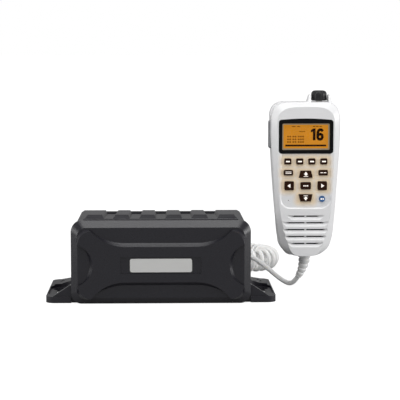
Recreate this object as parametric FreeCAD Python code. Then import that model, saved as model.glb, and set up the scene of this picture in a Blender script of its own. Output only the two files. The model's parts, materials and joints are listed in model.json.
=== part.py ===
import FreeCAD
import Part
import math
import os
from FreeCAD import Vector

# A marine radio: a finned transceiver box on the surface, and a control handset on a curly cord.
# Millimetres, +Z up, the front looks to -Y. The origin is the centre of the box's foot.

# Transceiver box
box_half_width = 86.0
box_front = -65.0
box_rear = 65.0
box_height = 80.0
case_wall = 2.6
floor_thick = 3.0
case_split = 26.0
shoulder_height = 66.0
deck_half_width = 72.0
corner_radius = 11.0
foot_radius = 10.0

# Ribs on the lid
rib_count = 6
rib_pitch = 25.0
rib_top_width = 12.5
rib_depth = 3.4
valley_floor_width = 9.0
rib_front_height = 84.0
rib_rear_height = 77.0
rib_front_run = 8.0
rear_rail = 7.0
rear_rail_drop = 1.3

# Front cover and its raised panel with four arms
cover_depth = 15.0
cover_wall = 4.0
bevel_rise = 6.4
bevel_depth = 5.0
panel_rise = 4.0
panel_taper = 3.6
panel_waist_top = 59.3
panel_waist_bottom = 18.0
panel_flat_half = 34.0
arm_reach_x = 69.8
arm_reach_side = 80.2
arm_top = 71.8
arm_side_top = 60.6
arm_bottom = 4.4
arm_side_bottom = 15.2
side_waist = 68.7
plate_width = 59.0
plate_height = 12.9
plate_middle = 37.8
plate_thick = 1.2
plate_recess_depth = 1.5
plate_recess_half = 38.5
plate_recess_margin = 1.5
seal_width = 1.6
seal_inset = 1.2
seal_depth = 1.5
cover_gap = 0.2

# Mounting ears
ear_reach = 110.8
ear_front = -53.0
ear_rear = 59.0
ear_thick = 6.0
ear_corner = 9.0
gusset_front_height = 17.0
gusset_rear_height = 8.8
gusset_reach = 104.0
pocket_radius = 11.5
pocket_x = 98.2
pocket_front = -30.0
pocket_rear = 9.0
pocket_floor = 4.0
keyhole_x = 100.0
keyhole_head_radius = 7.0
keyhole_head_y = 7.0
keyhole_slot_radius = 3.0
keyhole_slot_end = -13.0
ear_hole_radius = 2.75
ear_hole_y = 41.5
ear_pad_rise = 1.2

# Rear panel and its sockets
rear_plate = 3.0
socket_height = 38.0
antenna_x = 52.0
antenna_thread_radius = 7.94
antenna_thread_length = 16.0
antenna_flange = 12.7
antenna_bore = 4.2
inlet_x = 14.0
inlet_width = 22.0
inlet_height = 14.0
inlet_reach = 10.0
accessory_x = -12.0
accessory_radius = 5.5
handset_socket_x = -42.0
socket_flange_radius = 12.5
socket_flange_thick = 2.5
socket_barrel_radius = 9.0
socket_barrel_length = 10.5
socket_bore = 6.5
ground_x = -72.0
ground_height = 16.0

# Electronics in the box
board_side_gap = 7.4
board_front_gap = 6.0
board_rear_gap = 8.0
board_base = 13.0
board_thick = 1.6
boss_radius = 4.0
boss_edge = 8.0
module_width = 36.0
module_depth = 56.0
module_height = 14.0
module_edge_x = 18.0
module_edge_y = 14.0
can_width = 64.0
can_depth = 58.0
can_height = 12.0
can_wall = 0.8
can_edge_x = 26.0
can_edge_y = 10.0
screw_radius = 1.5
screw_head_radius = 2.8
screw_head = 1.8

# Plug on the cord
plug_body_radius = 7.0
plug_collar_radius = 8.7
plug_collar = 2.0
plug_body_length = 20.0
plug_tail_length = 7.0
plug_nose_clear = 0.3
plug_nose_length = 7.0
ring_radius = 13.0
ring_length = 17.0
ring_clear = 0.06
ring_grooves = 14
ring_groove_depth = 0.7

# Cord
cord_diameter = 4.8
curl_radius = 9.6
curl_lift = 0.06
curl_pitch_straight = 5.7
curl_pitch_bend = 7.9
curl_sides = 6
curl_biarc = 2
lead_sides = 8
curl_near_y = 141.0
curl_start_x = 78.0
curl_bend_x = 87.0
curl_bend_radius = 32.0
curl_end_x = 47.0

# Strain relief under the handset
boot_x = 0.8
boot_length = 24.0
boot_turn = math.radians(36)
boot_radius = 6.4
boot_tip_radius = 3.3
boot_ribs = 5
boot_groove = 0.7
boot_sides = 12

# Handset
handset_x = 144.5
handset_front = 10.0
handset_depth = 36.0
handset_bottom = 34.8
handset_height = 155.1
foot_half = 17.0
foot_side_half = 25.6
foot_side_height = 10.5
waist_half = 31.5
waist_height = 70.0
shoulder_half = 34.9
shoulder_rise = 128.0
top_corner = 13.0
foot_corner = 9.0
foot_side_corner = 14.0
front_round = 4.5
rear_round = 8.0
handset_split = 18.0
handset_wall = 2.2
panel_recess = 0.6
keypad_half = 27.0
keypad_low = 50.5
keypad_high = 103.0
keypad_corner = 9.0

post_low_x = 22.0
post_low_z = 46.5
post_high_x = 27.0
post_high_z = 144.5
post_radius = 3.2
hand_board_half = 26.5
hand_board_low = 50.5
hand_board_high = 140.0
mic_x = -17.0
mic_z = 56.9
mic_radius = 3.2
mic_hole_radius = 0.8

# Display
frame_half = 27.3
frame_low = 103.9
frame_high = 137.4
frame_arch = 1.5
frame_thick = 3.4
frame_proud = 0.3
window_half = 23.6
window_low = 107.6
window_high = 133.8
window_thick = 1.2
display_thick = 2.6

# Keys: name, x, height of the middle, width, height, top narrower by
key_rows = (
    ("soft_key_1", -18.0, 96.1, 6.9, 5.7, 0.0),
    ("soft_key_2", -6.1, 96.1, 6.9, 5.7, 0.0),
    ("soft_key_3", 6.0, 96.1, 6.9, 5.7, 0.0),
    ("soft_key_4", 17.9, 96.1, 6.9, 5.7, 0.0),
    ("side_key_left", -17.4, 84.9, 9.2, 5.2, 0.0),
    ("side_key_right", 17.4, 84.9, 9.2, 5.2, 0.0),
    ("up_key", 0.0, 83.3, 13.8, 6.9, 3.6),
    ("left_key", -16.5, 71.8, 9.2, 8.6, 0.0),
    ("centre_key", 0.0, 71.8, 10.3, 6.9, 0.0),
    ("right_key", 16.5, 71.8, 9.2, 8.6, 0.0),
    ("down_key", 0.0, 59.7, 13.8, 6.9, -3.6),
)
round_key_x = 16.4
round_key_z = 58.6
round_key_radius = 2.9
key_corner = 1.2
key_clear = 0.3
key_proud = 1.4
key_flange = 1.0
key_flange_thick = 0.8
key_travel = 0.6
key_seat = 0.1
mat_clear = 0.2

# Speaker grille
slot_rows = ((41.1, 13.0), (34.5, 18.0), (27.6, 19.2), (20.7, 18.0), (13.6, 12.6))
slot_gap = 0.9
slot_height = 1.2
louvre_height = 2.4
louvre_rise = 0.8
louvre_extra = 3.0
speaker_middle = 27.6
speaker_radius = 17.0

# Knob
knob_x = 14.3
knob_radius = 7.5
knob_top_radius = 6.4
knob_height = 10.6
knob_gap = 1.2
knob_grips = 12
grip_width = 1.7
grip_depth = 1.0
grip_start = 1.5
knob_travel = 0.8
shaft_radius = 3.0
shaft_clear = 0.05
cheek_inner = 8.6
cheek_thick = 2.4
cheek_rise = 6.9
cheek_half_depth = 9.0
cheek_corner = 4.0
cheek_foot = 4.0

# Push-to-talk bar
ptt_low = 108.5
ptt_high = 136.1
ptt_half_depth = 6.0
ptt_proud = 2.6
ptt_travel = 1.4
ptt_clear = 0.3

# Back of the handset
stud_height = 118.0
stud_neck_radius = 4.0
stud_neck_length = 3.5
stud_head_radius = 7.5
stud_head_length = 2.5
flap_middle = 74.0
flap_width = 24.0
flap_height = 22.0
flap_thick = 1.8
flap_gap = 0.3
hinge_radius = 2.0
pin_radius = 1.0
pin_clear = 0.05
knuckle_half = 6.0
lug_length = 3.5
red_radius = 5.5

fit_gap = 0.1
box_case_front = box_front + cover_depth
box_case_rear = box_rear - rear_plate
board_half_x = box_half_width - case_wall - board_side_gap
board_front = box_case_front + board_front_gap
board_rear = box_case_rear - board_rear_gap
boss_x = board_half_x - boss_edge
boss_front = board_front + boss_edge
boss_rear = board_rear - boss_edge
cord_radius = cord_diameter / 2
handset_rear = handset_front + handset_depth
seam_y = handset_front + handset_split
inner_face = handset_front + handset_wall
board_y = inner_face + key_seat + key_flange_thick + key_travel + mat_clear + 2.0


def block(x0, x1, y0, y1, z0, z1):
    return Part.makeBox(x1 - x0, y1 - y0, z1 - z0, Vector(x0, y0, z0))


def rod(radius, start, direction, length):
    return Part.makeCylinder(radius, length, Vector(*start), Vector(*direction))


def closed(points):
    return Part.makePolygon(points + [points[0]])


def prism_y(pairs, y0, y1):
    face = Part.Face(closed([Vector(x, y0, z) for x, z in pairs]))
    return face.extrude(Vector(0, y1 - y0, 0))


def prism_x(pairs, x0, x1):
    face = Part.Face(closed([Vector(x0, y, z) for y, z in pairs]))
    return face.extrude(Vector(x1 - x0, 0, 0))


def bar(radius, start, direction, length, sides=8):
    # A many-sided rod, for small screws and what they go into.
    way = Vector(*direction)
    across = Vector(1, 0, 0)
    upward = way.cross(across)
    corners = []
    for i in range(sides):
        turn = 2 * math.pi * (i + 0.5) / sides
        corners.append(Vector(*start) + across * (radius * math.cos(turn)) + upward * (radius * math.sin(turn)))
    return Part.Face(closed(corners)).extrude(way * length)


def edges_along(shape, axis, where=None):
    # Straight edges that run along one axis, and pass the test.
    found = []
    for edge in shape.Edges:
        if edge.Curve.TypeId != "Part::GeomLine":
            continue
        way = edge.Curve.Direction
        if abs(abs(way.dot(axis)) - 1) > 1e-6:
            continue
        if where is None or where(edge.CenterOfMass):
            found.append(edge)
    return found


def edges_at(shape, axis, value):
    # Edges that lie whole in the plane where that coordinate has that value.
    found = []
    for edge in shape.Edges:
        low = getattr(edge.BoundBox, axis + "Min")
        high = getattr(edge.BoundBox, axis + "Max")
        if abs(low - value) < 1e-4 and abs(high - value) < 1e-4:
            found.append(edge)
    return found


def rounded_plate(x0, x1, z0, z1, y0, y1, radius):
    shape = block(x0, x1, y0, y1, z0, z1)
    return shape.makeFillet(radius, edges_along(shape, Vector(0, 1, 0)))


def joined(shapes):
    return shapes[0].multiFuse(shapes[1:]).removeSplitter()


def write(name, shape):
    if not shape.isValid():
        print("not valid:", name)
    if shape.ShapeType == "Compound" and len(shape.Solids) == 1:
        shape = shape.Solids[0]
    shape.exportStep("parts/" + name + ".step")
    print(name, len(shape.Solids), "solid", round(shape.Volume), "cubic mm")


def case_outline(inset):
    # The box's end-on outline: upright walls, then a leaning shoulder up to the deck.
    half = box_half_width - inset
    deck = deck_half_width - inset * 0.4
    top = rib_front_height + 4 - inset
    lean_x = (half - deck) * 0.32
    lean_z = (box_height - shoulder_height) * 0.62
    right = [
        (half, 0),
        (half, shoulder_height - inset * 0.5),
        (half - lean_x, shoulder_height + lean_z - inset * 0.6),
        (deck, box_height + 2.0 - inset),
        (deck - 4, top),
    ]
    return right + [(-x, z) for x, z in reversed(right)]


def lid_side(drop):
    # The lid seen from the side: up a short ramp in front, then gently down to the rear.
    ramp_end = box_case_front + rib_front_run
    return [
        (box_case_front, 0),
        (box_case_front, box_height + 0.6 - drop),
        (ramp_end, rib_front_height - drop),
        (box_case_rear, rib_rear_height - drop),
        (box_case_rear, 0),
    ]


def case_block():
    hull = prism_y(case_outline(0), box_case_front, box_case_rear)
    return hull.common(prism_x(lid_side(0), -box_half_width, box_half_width))


def valleys():
    # The sloped-sided channels between the ribs, cut along the lid's fall.
    fall = (rib_front_height - rib_rear_height) / (box_case_rear - box_case_front - rib_front_run)
    start = box_case_front - 1
    length = box_case_rear - rear_rail - start
    first_floor = rib_front_height + fall * (rib_front_run + 1) - rib_depth
    top_width = rib_pitch - rib_top_width
    cuts = []
    for i in range(rib_count - 1):
        middle = (i - (rib_count - 2) / 2) * rib_pitch
        corners = [
            Vector(middle - valley_floor_width / 2, start, first_floor),
            Vector(middle + valley_floor_width / 2, start, first_floor),
            Vector(middle + top_width / 2, start, first_floor + rib_depth),
            Vector(middle + top_width / 2, start, first_floor + rib_depth + 6),
            Vector(middle - top_width / 2, start, first_floor + rib_depth + 6),
            Vector(middle - top_width / 2, start, first_floor + rib_depth),
        ]
        cuts.append(Part.Face(closed(corners)).extrude(Vector(0, length, -fall * length)))
    rail_floor = rib_rear_height - rear_rail_drop
    for i in range(rib_count - 1):
        middle = (i - (rib_count - 2) / 2) * rib_pitch
        cuts.append(block(middle - top_width / 2, middle + top_width / 2,
                          box_case_rear - rear_rail - 1, box_case_rear + 1, rail_floor, box_height + 9))
    return cuts


def make_upper_case():
    inner = prism_y(case_outline(case_wall), box_case_front - 1, box_case_rear + 1)
    room = prism_x([
        (box_case_front - 1, 0),
        (box_case_front - 1, box_height - rib_depth - case_wall - 1),
        (box_case_front + rib_front_run, rib_front_height - rib_depth - case_wall - 1),
        (box_case_rear + 1, rib_rear_height - rib_depth - case_wall - 1),
        (box_case_rear + 1, 0),
    ], -box_half_width, box_half_width)
    lid = case_block().cut(block(-100, 100, -100, 100, -1, case_split))
    lid = lid.cut(inner.common(room))
    lid = lid.cut(valleys())
    for side in (-1, 1):
        for y in (boss_front, boss_rear):
            x = side * (box_half_width - case_wall - boss_radius + 0.5)
            lid = lid.fuse(bar(boss_radius, (x, y, case_split), (0, 0, 1), 22))
            lid = lid.cut(bar(screw_radius, (x, y, case_split - 1), (0, 0, 1), 15))
    write("upper_case", lid.removeSplitter())


def ear(side):
    # One mounting ear: a rounded plate, a gusset that grows towards the front, and two screw places.
    x0, x1 = sorted((side * (box_half_width - 3), side * ear_reach))
    plate = block(x0, x1, ear_front, ear_rear, 0, ear_thick)
    outer = edges_along(plate, Vector(0, 0, 1), lambda c: abs(abs(c.x) - ear_reach) < 1e-3)
    plate = plate.makeFillet(ear_corner, outer)

    def gusset_wire(y, height):
        return closed([
            Vector(side * (box_half_width - 3), y, ear_thick - 2),
            Vector(side * gusset_reach, y, ear_thick - 2),
            Vector(side * gusset_reach, y, ear_thick),
            Vector(side * (box_half_width + 1.5), y, height),
            Vector(side * (box_half_width - 3), y, height),
        ])

    gusset = Part.makeLoft([gusset_wire(ear_front + 1.5, gusset_front_height),
                            gusset_wire(ear_rear - 1.5, gusset_rear_height)], True, True)
    pad = block(min(side * 92, side * 107), max(side * 92, side * 107), 17, 34, 1, ear_thick + ear_pad_rise)
    shape = joined([plate, gusset, pad])
    for y in (pocket_front, pocket_rear):
        shape = shape.cut(rod(pocket_radius, (side * pocket_x, y, pocket_floor), (0, 0, 1), 30))
    shape = shape.cut(block(side * pocket_x - pocket_radius, side * pocket_x + pocket_radius,
                            pocket_front, pocket_rear, pocket_floor, 30))
    shape = shape.cut(rod(keyhole_head_radius, (side * keyhole_x, keyhole_head_y, -1), (0, 0, 1), 30))
    shape = shape.cut(block(side * keyhole_x - keyhole_slot_radius, side * keyhole_x + keyhole_slot_radius,
                            keyhole_slot_end, keyhole_head_y, -1, 30))
    shape = shape.cut(rod(keyhole_slot_radius, (side * keyhole_x, keyhole_slot_end, -1), (0, 0, 1), 30))
    shape = shape.cut(rod(ear_hole_radius, (side * keyhole_x, ear_hole_y, -1), (0, 0, 1), 30))
    half = box_half_width + cover_gap
    return shape.cut(block(-half, half, ear_front - 1, box_case_front, -1, 30))


def make_lower_case():
    tray = block(-box_half_width, box_half_width, box_case_front, box_case_rear, 0, case_split)
    tray = tray.cut(block(-box_half_width + case_wall, box_half_width - case_wall,
                          box_case_front - 1, box_case_rear + 1, floor_thick, case_split + 1))
    shape = joined([tray, ear(-1), ear(1)])
    for side in (-1, 1):
        for y in (boss_front, boss_rear):
            boss = bar(boss_radius, (side * boss_x, y, floor_thick - 0.5), (0, 0, 1), board_base - floor_thick + 0.5)
            shape = shape.fuse(boss)
            shape = shape.cut(bar(screw_radius, (side * boss_x, y, floor_thick), (0, 0, 1), board_base))
            x = side * (box_half_width - case_wall - boss_radius + 0.5)
            post = bar(boss_radius, (x, y, floor_thick - 0.5), (0, 0, 1), case_split - floor_thick + 0.5)
            shape = shape.fuse(post)
            shape = shape.cut(bar(screw_radius + 0.3, (x, y, -1), (0, 0, 1), case_split + 2))
            shape = shape.cut(bar(screw_head_radius + 0.3, (x, y, -1), (0, 0, 1), screw_head + 1.4))
    write("lower_case", shape.removeSplitter())


def cover_ring(inset, y):
    # The front's rounded outline, drawn in from the box's sides by an inset.
    half = box_half_width - inset
    top = box_height - inset
    low = inset
    high_r = corner_radius - min(inset, 6.0) * 0.55
    low_r = foot_radius - min(inset, 6.0) * 0.55
    bow = math.sqrt(0.5)

    def corner(cx, cz, radius, sx, sz):
        middle = Vector(cx + sx * radius * bow, y, cz + sz * radius * bow)
        ends = [Vector(cx + sx * radius, y, cz), Vector(cx, y, cz + sz * radius)]
        if sx * sz < 0:
            ends.reverse()
        return Part.Arc(ends[0], middle, ends[1]).toShape()

    corners = [
        corner(half - low_r, low + low_r, low_r, 1, -1),
        corner(half - high_r, top - high_r, high_r, 1, 1),
        corner(-half + high_r, top - high_r, high_r, -1, 1),
        corner(-half + low_r, low + low_r, low_r, -1, -1),
    ]
    edges = []
    for here, after in zip(corners, corners[1:] + corners[:1]):
        edges.append(here)
        edges.append(Part.LineSegment(here.Vertexes[-1].Point, after.Vertexes[0].Point).toShape())
    return Part.Wire(edges)


def panel_wire(inset, y):
    # The raised panel's outline: four arms to the corners, waisted between them.
    top = panel_waist_top - inset
    low = panel_waist_bottom + inset
    middle = (top + low) / 2
    side = side_waist - inset
    corners = {}
    for sz, waist, tip, shoulder in ((1, top, arm_top - inset * 0.3, arm_side_top - inset * 0.9),
                                     (-1, low, arm_bottom + inset * 0.3, arm_side_bottom + inset * 0.9)):
        tip_x = arm_reach_x - inset * 0.9
        side_x = arm_reach_side - inset * 0.3
        run = tip_x - panel_flat_half
        rise = abs(tip - waist)
        turn = 2 * math.atan2(rise, run)
        radius = run / math.sin(turn)
        bow = Vector(panel_flat_half + radius * math.sin(turn / 2), y, waist + sz * radius * (1 - math.cos(turn / 2)))
        round_x = (tip_x + side_x) / 2 + 2.6
        round_z = (tip + shoulder) / 2 + sz * 2.6
        corners[sz] = (waist, Vector(tip_x, y, tip), bow, Vector(round_x, y, round_z), Vector(side_x, y, shoulder))
    edges = []

    def flip(point):
        return Vector(-point.x, point.y, point.z)

    def arc(a, b, c):
        edges.append(Part.Arc(a, b, c).toShape())

    waist, tip, bow, rounded, side_point = corners[1]
    flat = Vector(panel_flat_half, y, waist)
    edges.append(Part.LineSegment(flip(flat), flat).toShape())
    arc(flat, bow, tip)
    arc(tip, rounded, side_point)
    low_waist, low_tip, low_bow, low_rounded, low_side = corners[-1]
    arc(side_point, Vector(side, y, middle), low_side)
    arc(low_side, low_rounded, low_tip)
    low_flat = Vector(panel_flat_half, y, low_waist)
    arc(low_tip, low_bow, low_flat)
    edges.append(Part.LineSegment(low_flat, flip(low_flat)).toShape())
    arc(flip(low_flat), flip(low_bow), flip(low_tip))
    arc(flip(low_tip), flip(low_rounded), flip(low_side))
    arc(flip(low_side), flip(Vector(side, y, middle)), flip(side_point))
    arc(flip(side_point), flip(rounded), flip(tip))
    arc(flip(tip), flip(bow), flip(flat))
    return Part.Wire(edges)


def make_front_cover():
    base = box_front + panel_rise
    rim = base + bevel_depth
    back = Part.Face(cover_ring(0, rim)).extrude(Vector(0, box_case_front - rim, 0))
    bevel = Part.makeLoft([cover_ring(bevel_rise, base), cover_ring(0, rim)], True, True)
    raised = Part.makeLoft([panel_wire(0, base + 0.5), panel_wire(panel_taper, box_front)], True, True)
    shape = joined([back, bevel, raised])
    hollow = Part.Face(cover_ring(cover_wall, rim - 1)).extrude(Vector(0, cover_depth, 0))
    shape = shape.cut(hollow)
    recess_low = plate_middle - plate_height / 2 - plate_recess_margin
    recess_high = plate_middle + plate_height / 2 + plate_recess_margin
    shape = shape.cut(block(-plate_recess_half, plate_recess_half, box_front - 1, box_front + plate_recess_depth,
                            recess_low, recess_high))
    groove_outer = Part.Face(cover_ring(seal_inset, box_case_front - seal_depth)).extrude(Vector(0, 5, 0))
    groove_inner = Part.Face(cover_ring(seal_inset + seal_width, box_case_front - seal_depth)).extrude(Vector(0, 5, 0))
    shape = shape.cut(groove_outer.cut(groove_inner))
    write("front_cover", shape.removeSplitter())


def make_cover_seal():
    outer = Part.Face(cover_ring(seal_inset, box_case_front - seal_depth)).extrude(Vector(0, seal_depth, 0))
    inner = Part.Face(cover_ring(seal_inset + seal_width, box_case_front - seal_depth)).extrude(Vector(0, seal_depth, 0))
    write("cover_seal", outer.cut(inner))


def make_name_plate():
    y = box_front + plate_recess_depth - plate_thick
    shape = rounded_plate(-plate_width / 2, plate_width / 2, plate_middle - plate_height / 2,
                          plate_middle + plate_height / 2, y, y + plate_thick, 2.0)
    write("name_plate", shape)


def make_rear_panel():
    hull = prism_y(case_outline(0), box_case_rear, box_rear)
    hull = hull.common(block(-100, 100, box_case_rear, box_rear, 0, rib_rear_height - rear_rail_drop))
    for x, radius in ((antenna_x, 8.3), (accessory_x, accessory_radius + fit_gap), (handset_socket_x, socket_barrel_radius)):
        hull = hull.cut(rod(radius, (x, box_case_rear - 1, socket_height), (0, 1, 0), 10))
    hull = hull.cut(block(inlet_x - inlet_width / 2 - fit_gap, inlet_x + inlet_width / 2 + fit_gap,
                          box_case_rear - 1, box_rear + 1, socket_height - inlet_height / 2 - fit_gap,
                          socket_height + inlet_height / 2 + fit_gap))
    hull = hull.cut(rod(2.05, (ground_x, box_case_rear - 1, ground_height), (0, 1, 0), 10))
    for x, z in panel_screw_places():
        hull = hull.cut(bar(screw_radius + 0.1, (x, box_case_rear - 1, z), (0, 1, 0), 10))
    write("rear_panel", hull)


def panel_screw_places():
    return [(side * 78.0, z) for side in (-1, 1) for z in (9.0, 62.0)]


def make_sockets():
    flange = block(antenna_x - antenna_flange, antenna_x + antenna_flange, box_rear, box_rear + 1.6,
                   socket_height - antenna_flange, socket_height + antenna_flange)
    body = rod(8.2, (antenna_x, box_case_rear - 6, socket_height), (0, 1, 0), rear_plate + 6)
    thread = rod(antenna_thread_radius, (antenna_x, box_rear, socket_height), (0, 1, 0), 1.6 + antenna_thread_length)
    bore = rod(antenna_bore, (antenna_x, box_rear + 3, socket_height), (0, 1, 0), 20)
    contact = rod(2.6, (antenna_x, box_rear + 2, socket_height), (0, 1, 0), 12)
    cup = rod(1.9, (antenna_x, box_rear + 5, socket_height), (0, 1, 0), 12)
    shape = joined([flange, body, thread]).cut(bore).fuse(contact).cut(cup)
    write("antenna_socket", shape.removeSplitter())

    shell = block(inlet_x - inlet_width / 2, inlet_x + inlet_width / 2, box_case_rear - 5, box_rear + inlet_reach,
                  socket_height - inlet_height / 2, socket_height + inlet_height / 2)
    shell = shell.cut(block(inlet_x - inlet_width / 2 + 1.8, inlet_x + inlet_width / 2 - 1.8, box_rear + 1,
                            box_rear + inlet_reach + 1, socket_height - inlet_height / 2 + 1.8,
                            socket_height + inlet_height / 2 - 1.8))
    for dx in (-4.5, 4.5):
        shell = shell.fuse(rod(1.2, (inlet_x + dx, box_rear + 0.5, socket_height), (0, 1, 0), inlet_reach - 2))
    write("power_inlet", shell.removeSplitter())

    jack = rod(accessory_radius, (accessory_x, box_case_rear - 4, socket_height), (0, 1, 0), rear_plate + 4)
    jack = jack.fuse(rod(accessory_radius + 2, (accessory_x, box_rear, socket_height), (0, 1, 0), 2.5))
    jack = jack.cut(rod(1.8, (accessory_x, box_case_rear, socket_height), (0, 1, 0), 20))
    write("accessory_socket", jack.removeSplitter())

    barrel_end = box_rear + socket_flange_thick + socket_barrel_length
    body = rod(socket_barrel_radius - fit_gap, (handset_socket_x, box_case_rear - 4, socket_height), (0, 1, 0),
               barrel_end - box_case_rear + 4)
    body = body.fuse(rod(socket_flange_radius, (handset_socket_x, box_rear, socket_height), (0, 1, 0),
                         socket_flange_thick))
    body = body.cut(rod(socket_bore, (handset_socket_x, barrel_end - plug_nose_length - 1, socket_height),
                        (0, 1, 0), 20))
    write("handset_socket", body.removeSplitter())

    stem = rod(2.0, (ground_x, box_case_rear - 4, ground_height), (0, 1, 0), rear_plate + 10)
    nut = prism_y([(ground_x + 4.2 * math.cos(math.radians(60 * i)), ground_height + 4.2 * math.sin(math.radians(60 * i)))
                   for i in range(6)], box_rear, box_rear + 3)
    write("ground_terminal", stem.fuse(nut).removeSplitter())


def make_electronics():
    board = block(-board_half_x, board_half_x, board_front, board_rear, board_base, board_base + board_thick)
    for side in (-1, 1):
        for y in (boss_front, boss_rear):
            board = board.cut(bar(screw_radius + 0.1, (side * boss_x, y, board_base - 1), (0, 0, 1), 4))
            x = side * (box_half_width - case_wall - boss_radius + 0.5)
            board = board.cut(bar(boss_radius + 0.6, (x, y, board_base - 1), (0, 0, 1), 4))
    write("main_board", board)
    top = board_base + board_thick
    x, y = -board_half_x + module_edge_x, board_front + module_edge_y
    write("power_module", block(x, x + module_width, y, y + module_depth, top, top + module_height))
    x, y = board_half_x - can_edge_x - can_width, board_front + can_edge_y
    can = block(x, x + can_width, y, y + can_depth, top, top + can_height)
    room = block(x + can_wall, x + can_width - can_wall, y + can_wall, y + can_depth - can_wall,
                 top - 1, top + can_height - can_wall)
    write("shield_can", can.cut(room))


def screw(place, way, length, head_radius=screw_head_radius, radius=screw_radius):
    # A pan-head screw, its head's underside at the place, its shank along the way.
    back = Vector(*place) - Vector(*way) * screw_head
    head = bar(head_radius, tuple(back), way, screw_head)
    return head.fuse(bar(radius, place, way, length)).removeSplitter()


def make_screws():
    top = board_base + board_thick
    case_set = []
    board_set = []
    for side in (-1, 1):
        for y in (boss_front, boss_rear):
            board_set.append(screw((side * boss_x, y, top), (0, 0, -1), 8, radius=screw_radius - 0.02))
            x = side * (box_half_width - case_wall - boss_radius + 0.5)
            case_set.append(screw((x, y, screw_head + 0.4), (0, 0, 1), case_split + 8, radius=screw_radius - 0.02))
    write("board_screws", Part.makeCompound(board_set))
    write("case_screws", Part.makeCompound(case_set))
    rear_set = [screw((x, box_rear, z), (0, -1, 0), rear_plate + 5) for x, z in panel_screw_places()]
    write("panel_screws", Part.makeCompound(rear_set))


def plug_start():
    return box_rear + socket_flange_thick + socket_barrel_length


def plug_end():
    return plug_start() + plug_collar + plug_body_length + plug_tail_length


def notch(x, z, turn, radius, depth, start, length):
    # A V-shaped groove along +Y in the side of a round piece.
    spread = 1.6 * depth / radius
    out = 1.2 * radius
    corners = [
        Vector(x + (radius - depth) * math.cos(turn), start, z + (radius - depth) * math.sin(turn)),
        Vector(x + out * math.cos(turn - 3 * spread), start, z + out * math.sin(turn - 3 * spread)),
        Vector(x + out * math.cos(turn + 3 * spread), start, z + out * math.sin(turn + 3 * spread)),
    ]
    return Part.Face(closed(corners)).extrude(Vector(0, length, 0))


def make_plug():
    x, z = handset_socket_x, socket_height
    start = plug_start()
    nose = rod(socket_bore - plug_nose_clear, (x, start - plug_nose_length, z), (0, 1, 0), plug_nose_length)
    collar = rod(plug_collar_radius, (x, start, z), (0, 1, 0), plug_collar)
    body = rod(plug_body_radius, (x, start + plug_collar, z), (0, 1, 0), plug_body_length)
    tail = Part.makeCone(plug_body_radius, cord_radius + 1.0, plug_tail_length,
                         Vector(x, start + plug_collar + plug_body_length, z), Vector(0, 1, 0))
    write("cord_plug", joined([nose, collar, body, tail]))
    ring_start = start - socket_barrel_length + 1.0
    ring = rod(ring_radius, (x, ring_start, z), (0, 1, 0), ring_length)
    wide = start + plug_collar + 0.3 - ring_start
    ring = ring.cut(rod(socket_barrel_radius + 0.3, (x, ring_start - 1, z), (0, 1, 0), wide + 1))
    ring = ring.cut(rod(plug_body_radius + ring_clear, (x, ring_start, z), (0, 1, 0), ring_length + 1))
    cuts = []
    for i in range(ring_grooves):
        turn = 2 * math.pi * i / ring_grooves
        cuts.append(notch(x, z, turn, ring_radius, ring_groove_depth, ring_start + 2.5, ring_length - 5))
    write("plug_ring", ring.cut(cuts))


def curl_axis(s):
    # The curls' middle line on the surface: near limb, half-circle, far limb. Gives place and sideways vector.
    near = curl_bend_x - curl_start_x
    bend = math.pi * curl_bend_radius
    height = curl_radius + cord_radius + curl_lift
    if s < near:
        return Vector(curl_start_x + s, curl_near_y, height), Vector(0, 1, 0)
    if s < near + bend:
        turn = (s - near) / curl_bend_radius
        side = Vector(-math.sin(turn), math.cos(turn), 0)
        centre = Vector(curl_bend_x, curl_near_y + curl_bend_radius, height)
        return centre - side * curl_bend_radius, side
    past = s - near - bend
    return Vector(curl_bend_x - past, curl_near_y + 2 * curl_bend_radius, height), Vector(0, -1, 0)


def curl_turn_places():
    # How far along the middle line each quarter turn begins. Turns lie wider apart round the bend.
    near = curl_bend_x - curl_start_x
    bend = math.pi * curl_bend_radius
    total = near + bend + curl_bend_x - curl_end_x
    places = [0.0]
    while places[-1] < total:
        s = places[-1]
        ease = max(0.0, min(1.0, (s - near + 8) / 8, (near + bend + 8 - s) / 8))
        pitch = curl_pitch_straight + (curl_pitch_bend - curl_pitch_straight) * ease
        places.append(s + pitch / 4)
    quarters = len(places) - 1
    while quarters % 4 != 2:
        quarters -= 1
    return places[: quarters + 1]


def curl_point(places, quarter):
    whole = max(0, min(math.floor(quarter), len(places) - 2))
    part = quarter - whole
    s = places[whole] + (places[whole + 1] - places[whole]) * part
    middle, side = curl_axis(s)
    turn = math.pi / 2 * quarter
    return middle + Vector(0, 0, 1) * (curl_radius * math.cos(turn)) + side * (curl_radius * math.sin(turn))


def curl_heading(places, quarter):
    small = 0.01
    return (curl_point(places, quarter + small) - curl_point(places, quarter - small)).normalize()


def arc_from(a, corner, b):
    # The arc from a to b that touches the lines from each of them to the corner.
    middle = (a + b) * 0.5
    rise = corner - middle
    half = (b - a).Length / 2
    bend = math.atan2(rise.Length, half)
    return Part.Arc(a, middle + rise.normalize() * (half * math.tan(bend / 2)), b).toShape()


def biarc(a, way_a, b, way_b):
    # Two arcs that join a to b, with a heading given at each end.
    gap = b - a
    ways = way_a + way_b
    spread = 2 * (1 - way_a.dot(way_b))
    along = gap.dot(ways)
    reach = (-along + math.sqrt(along * along + spread * gap.dot(gap))) / spread
    first = a + way_a * reach
    second = b - way_b * reach
    joint = (first + second) * 0.5
    return [arc_from(a, first, joint), arc_from(joint, second, b)]


def curl_ends():
    places = curl_turn_places()
    last = len(places) - 1
    start = curl_point(places, 0.0)
    end = curl_point(places, float(last))
    way_in = curl_heading(places, 0.0)
    way_out = curl_heading(places, float(last))
    return start - way_in * cord_diameter, way_in, end + way_out * cord_diameter, way_out


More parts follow.
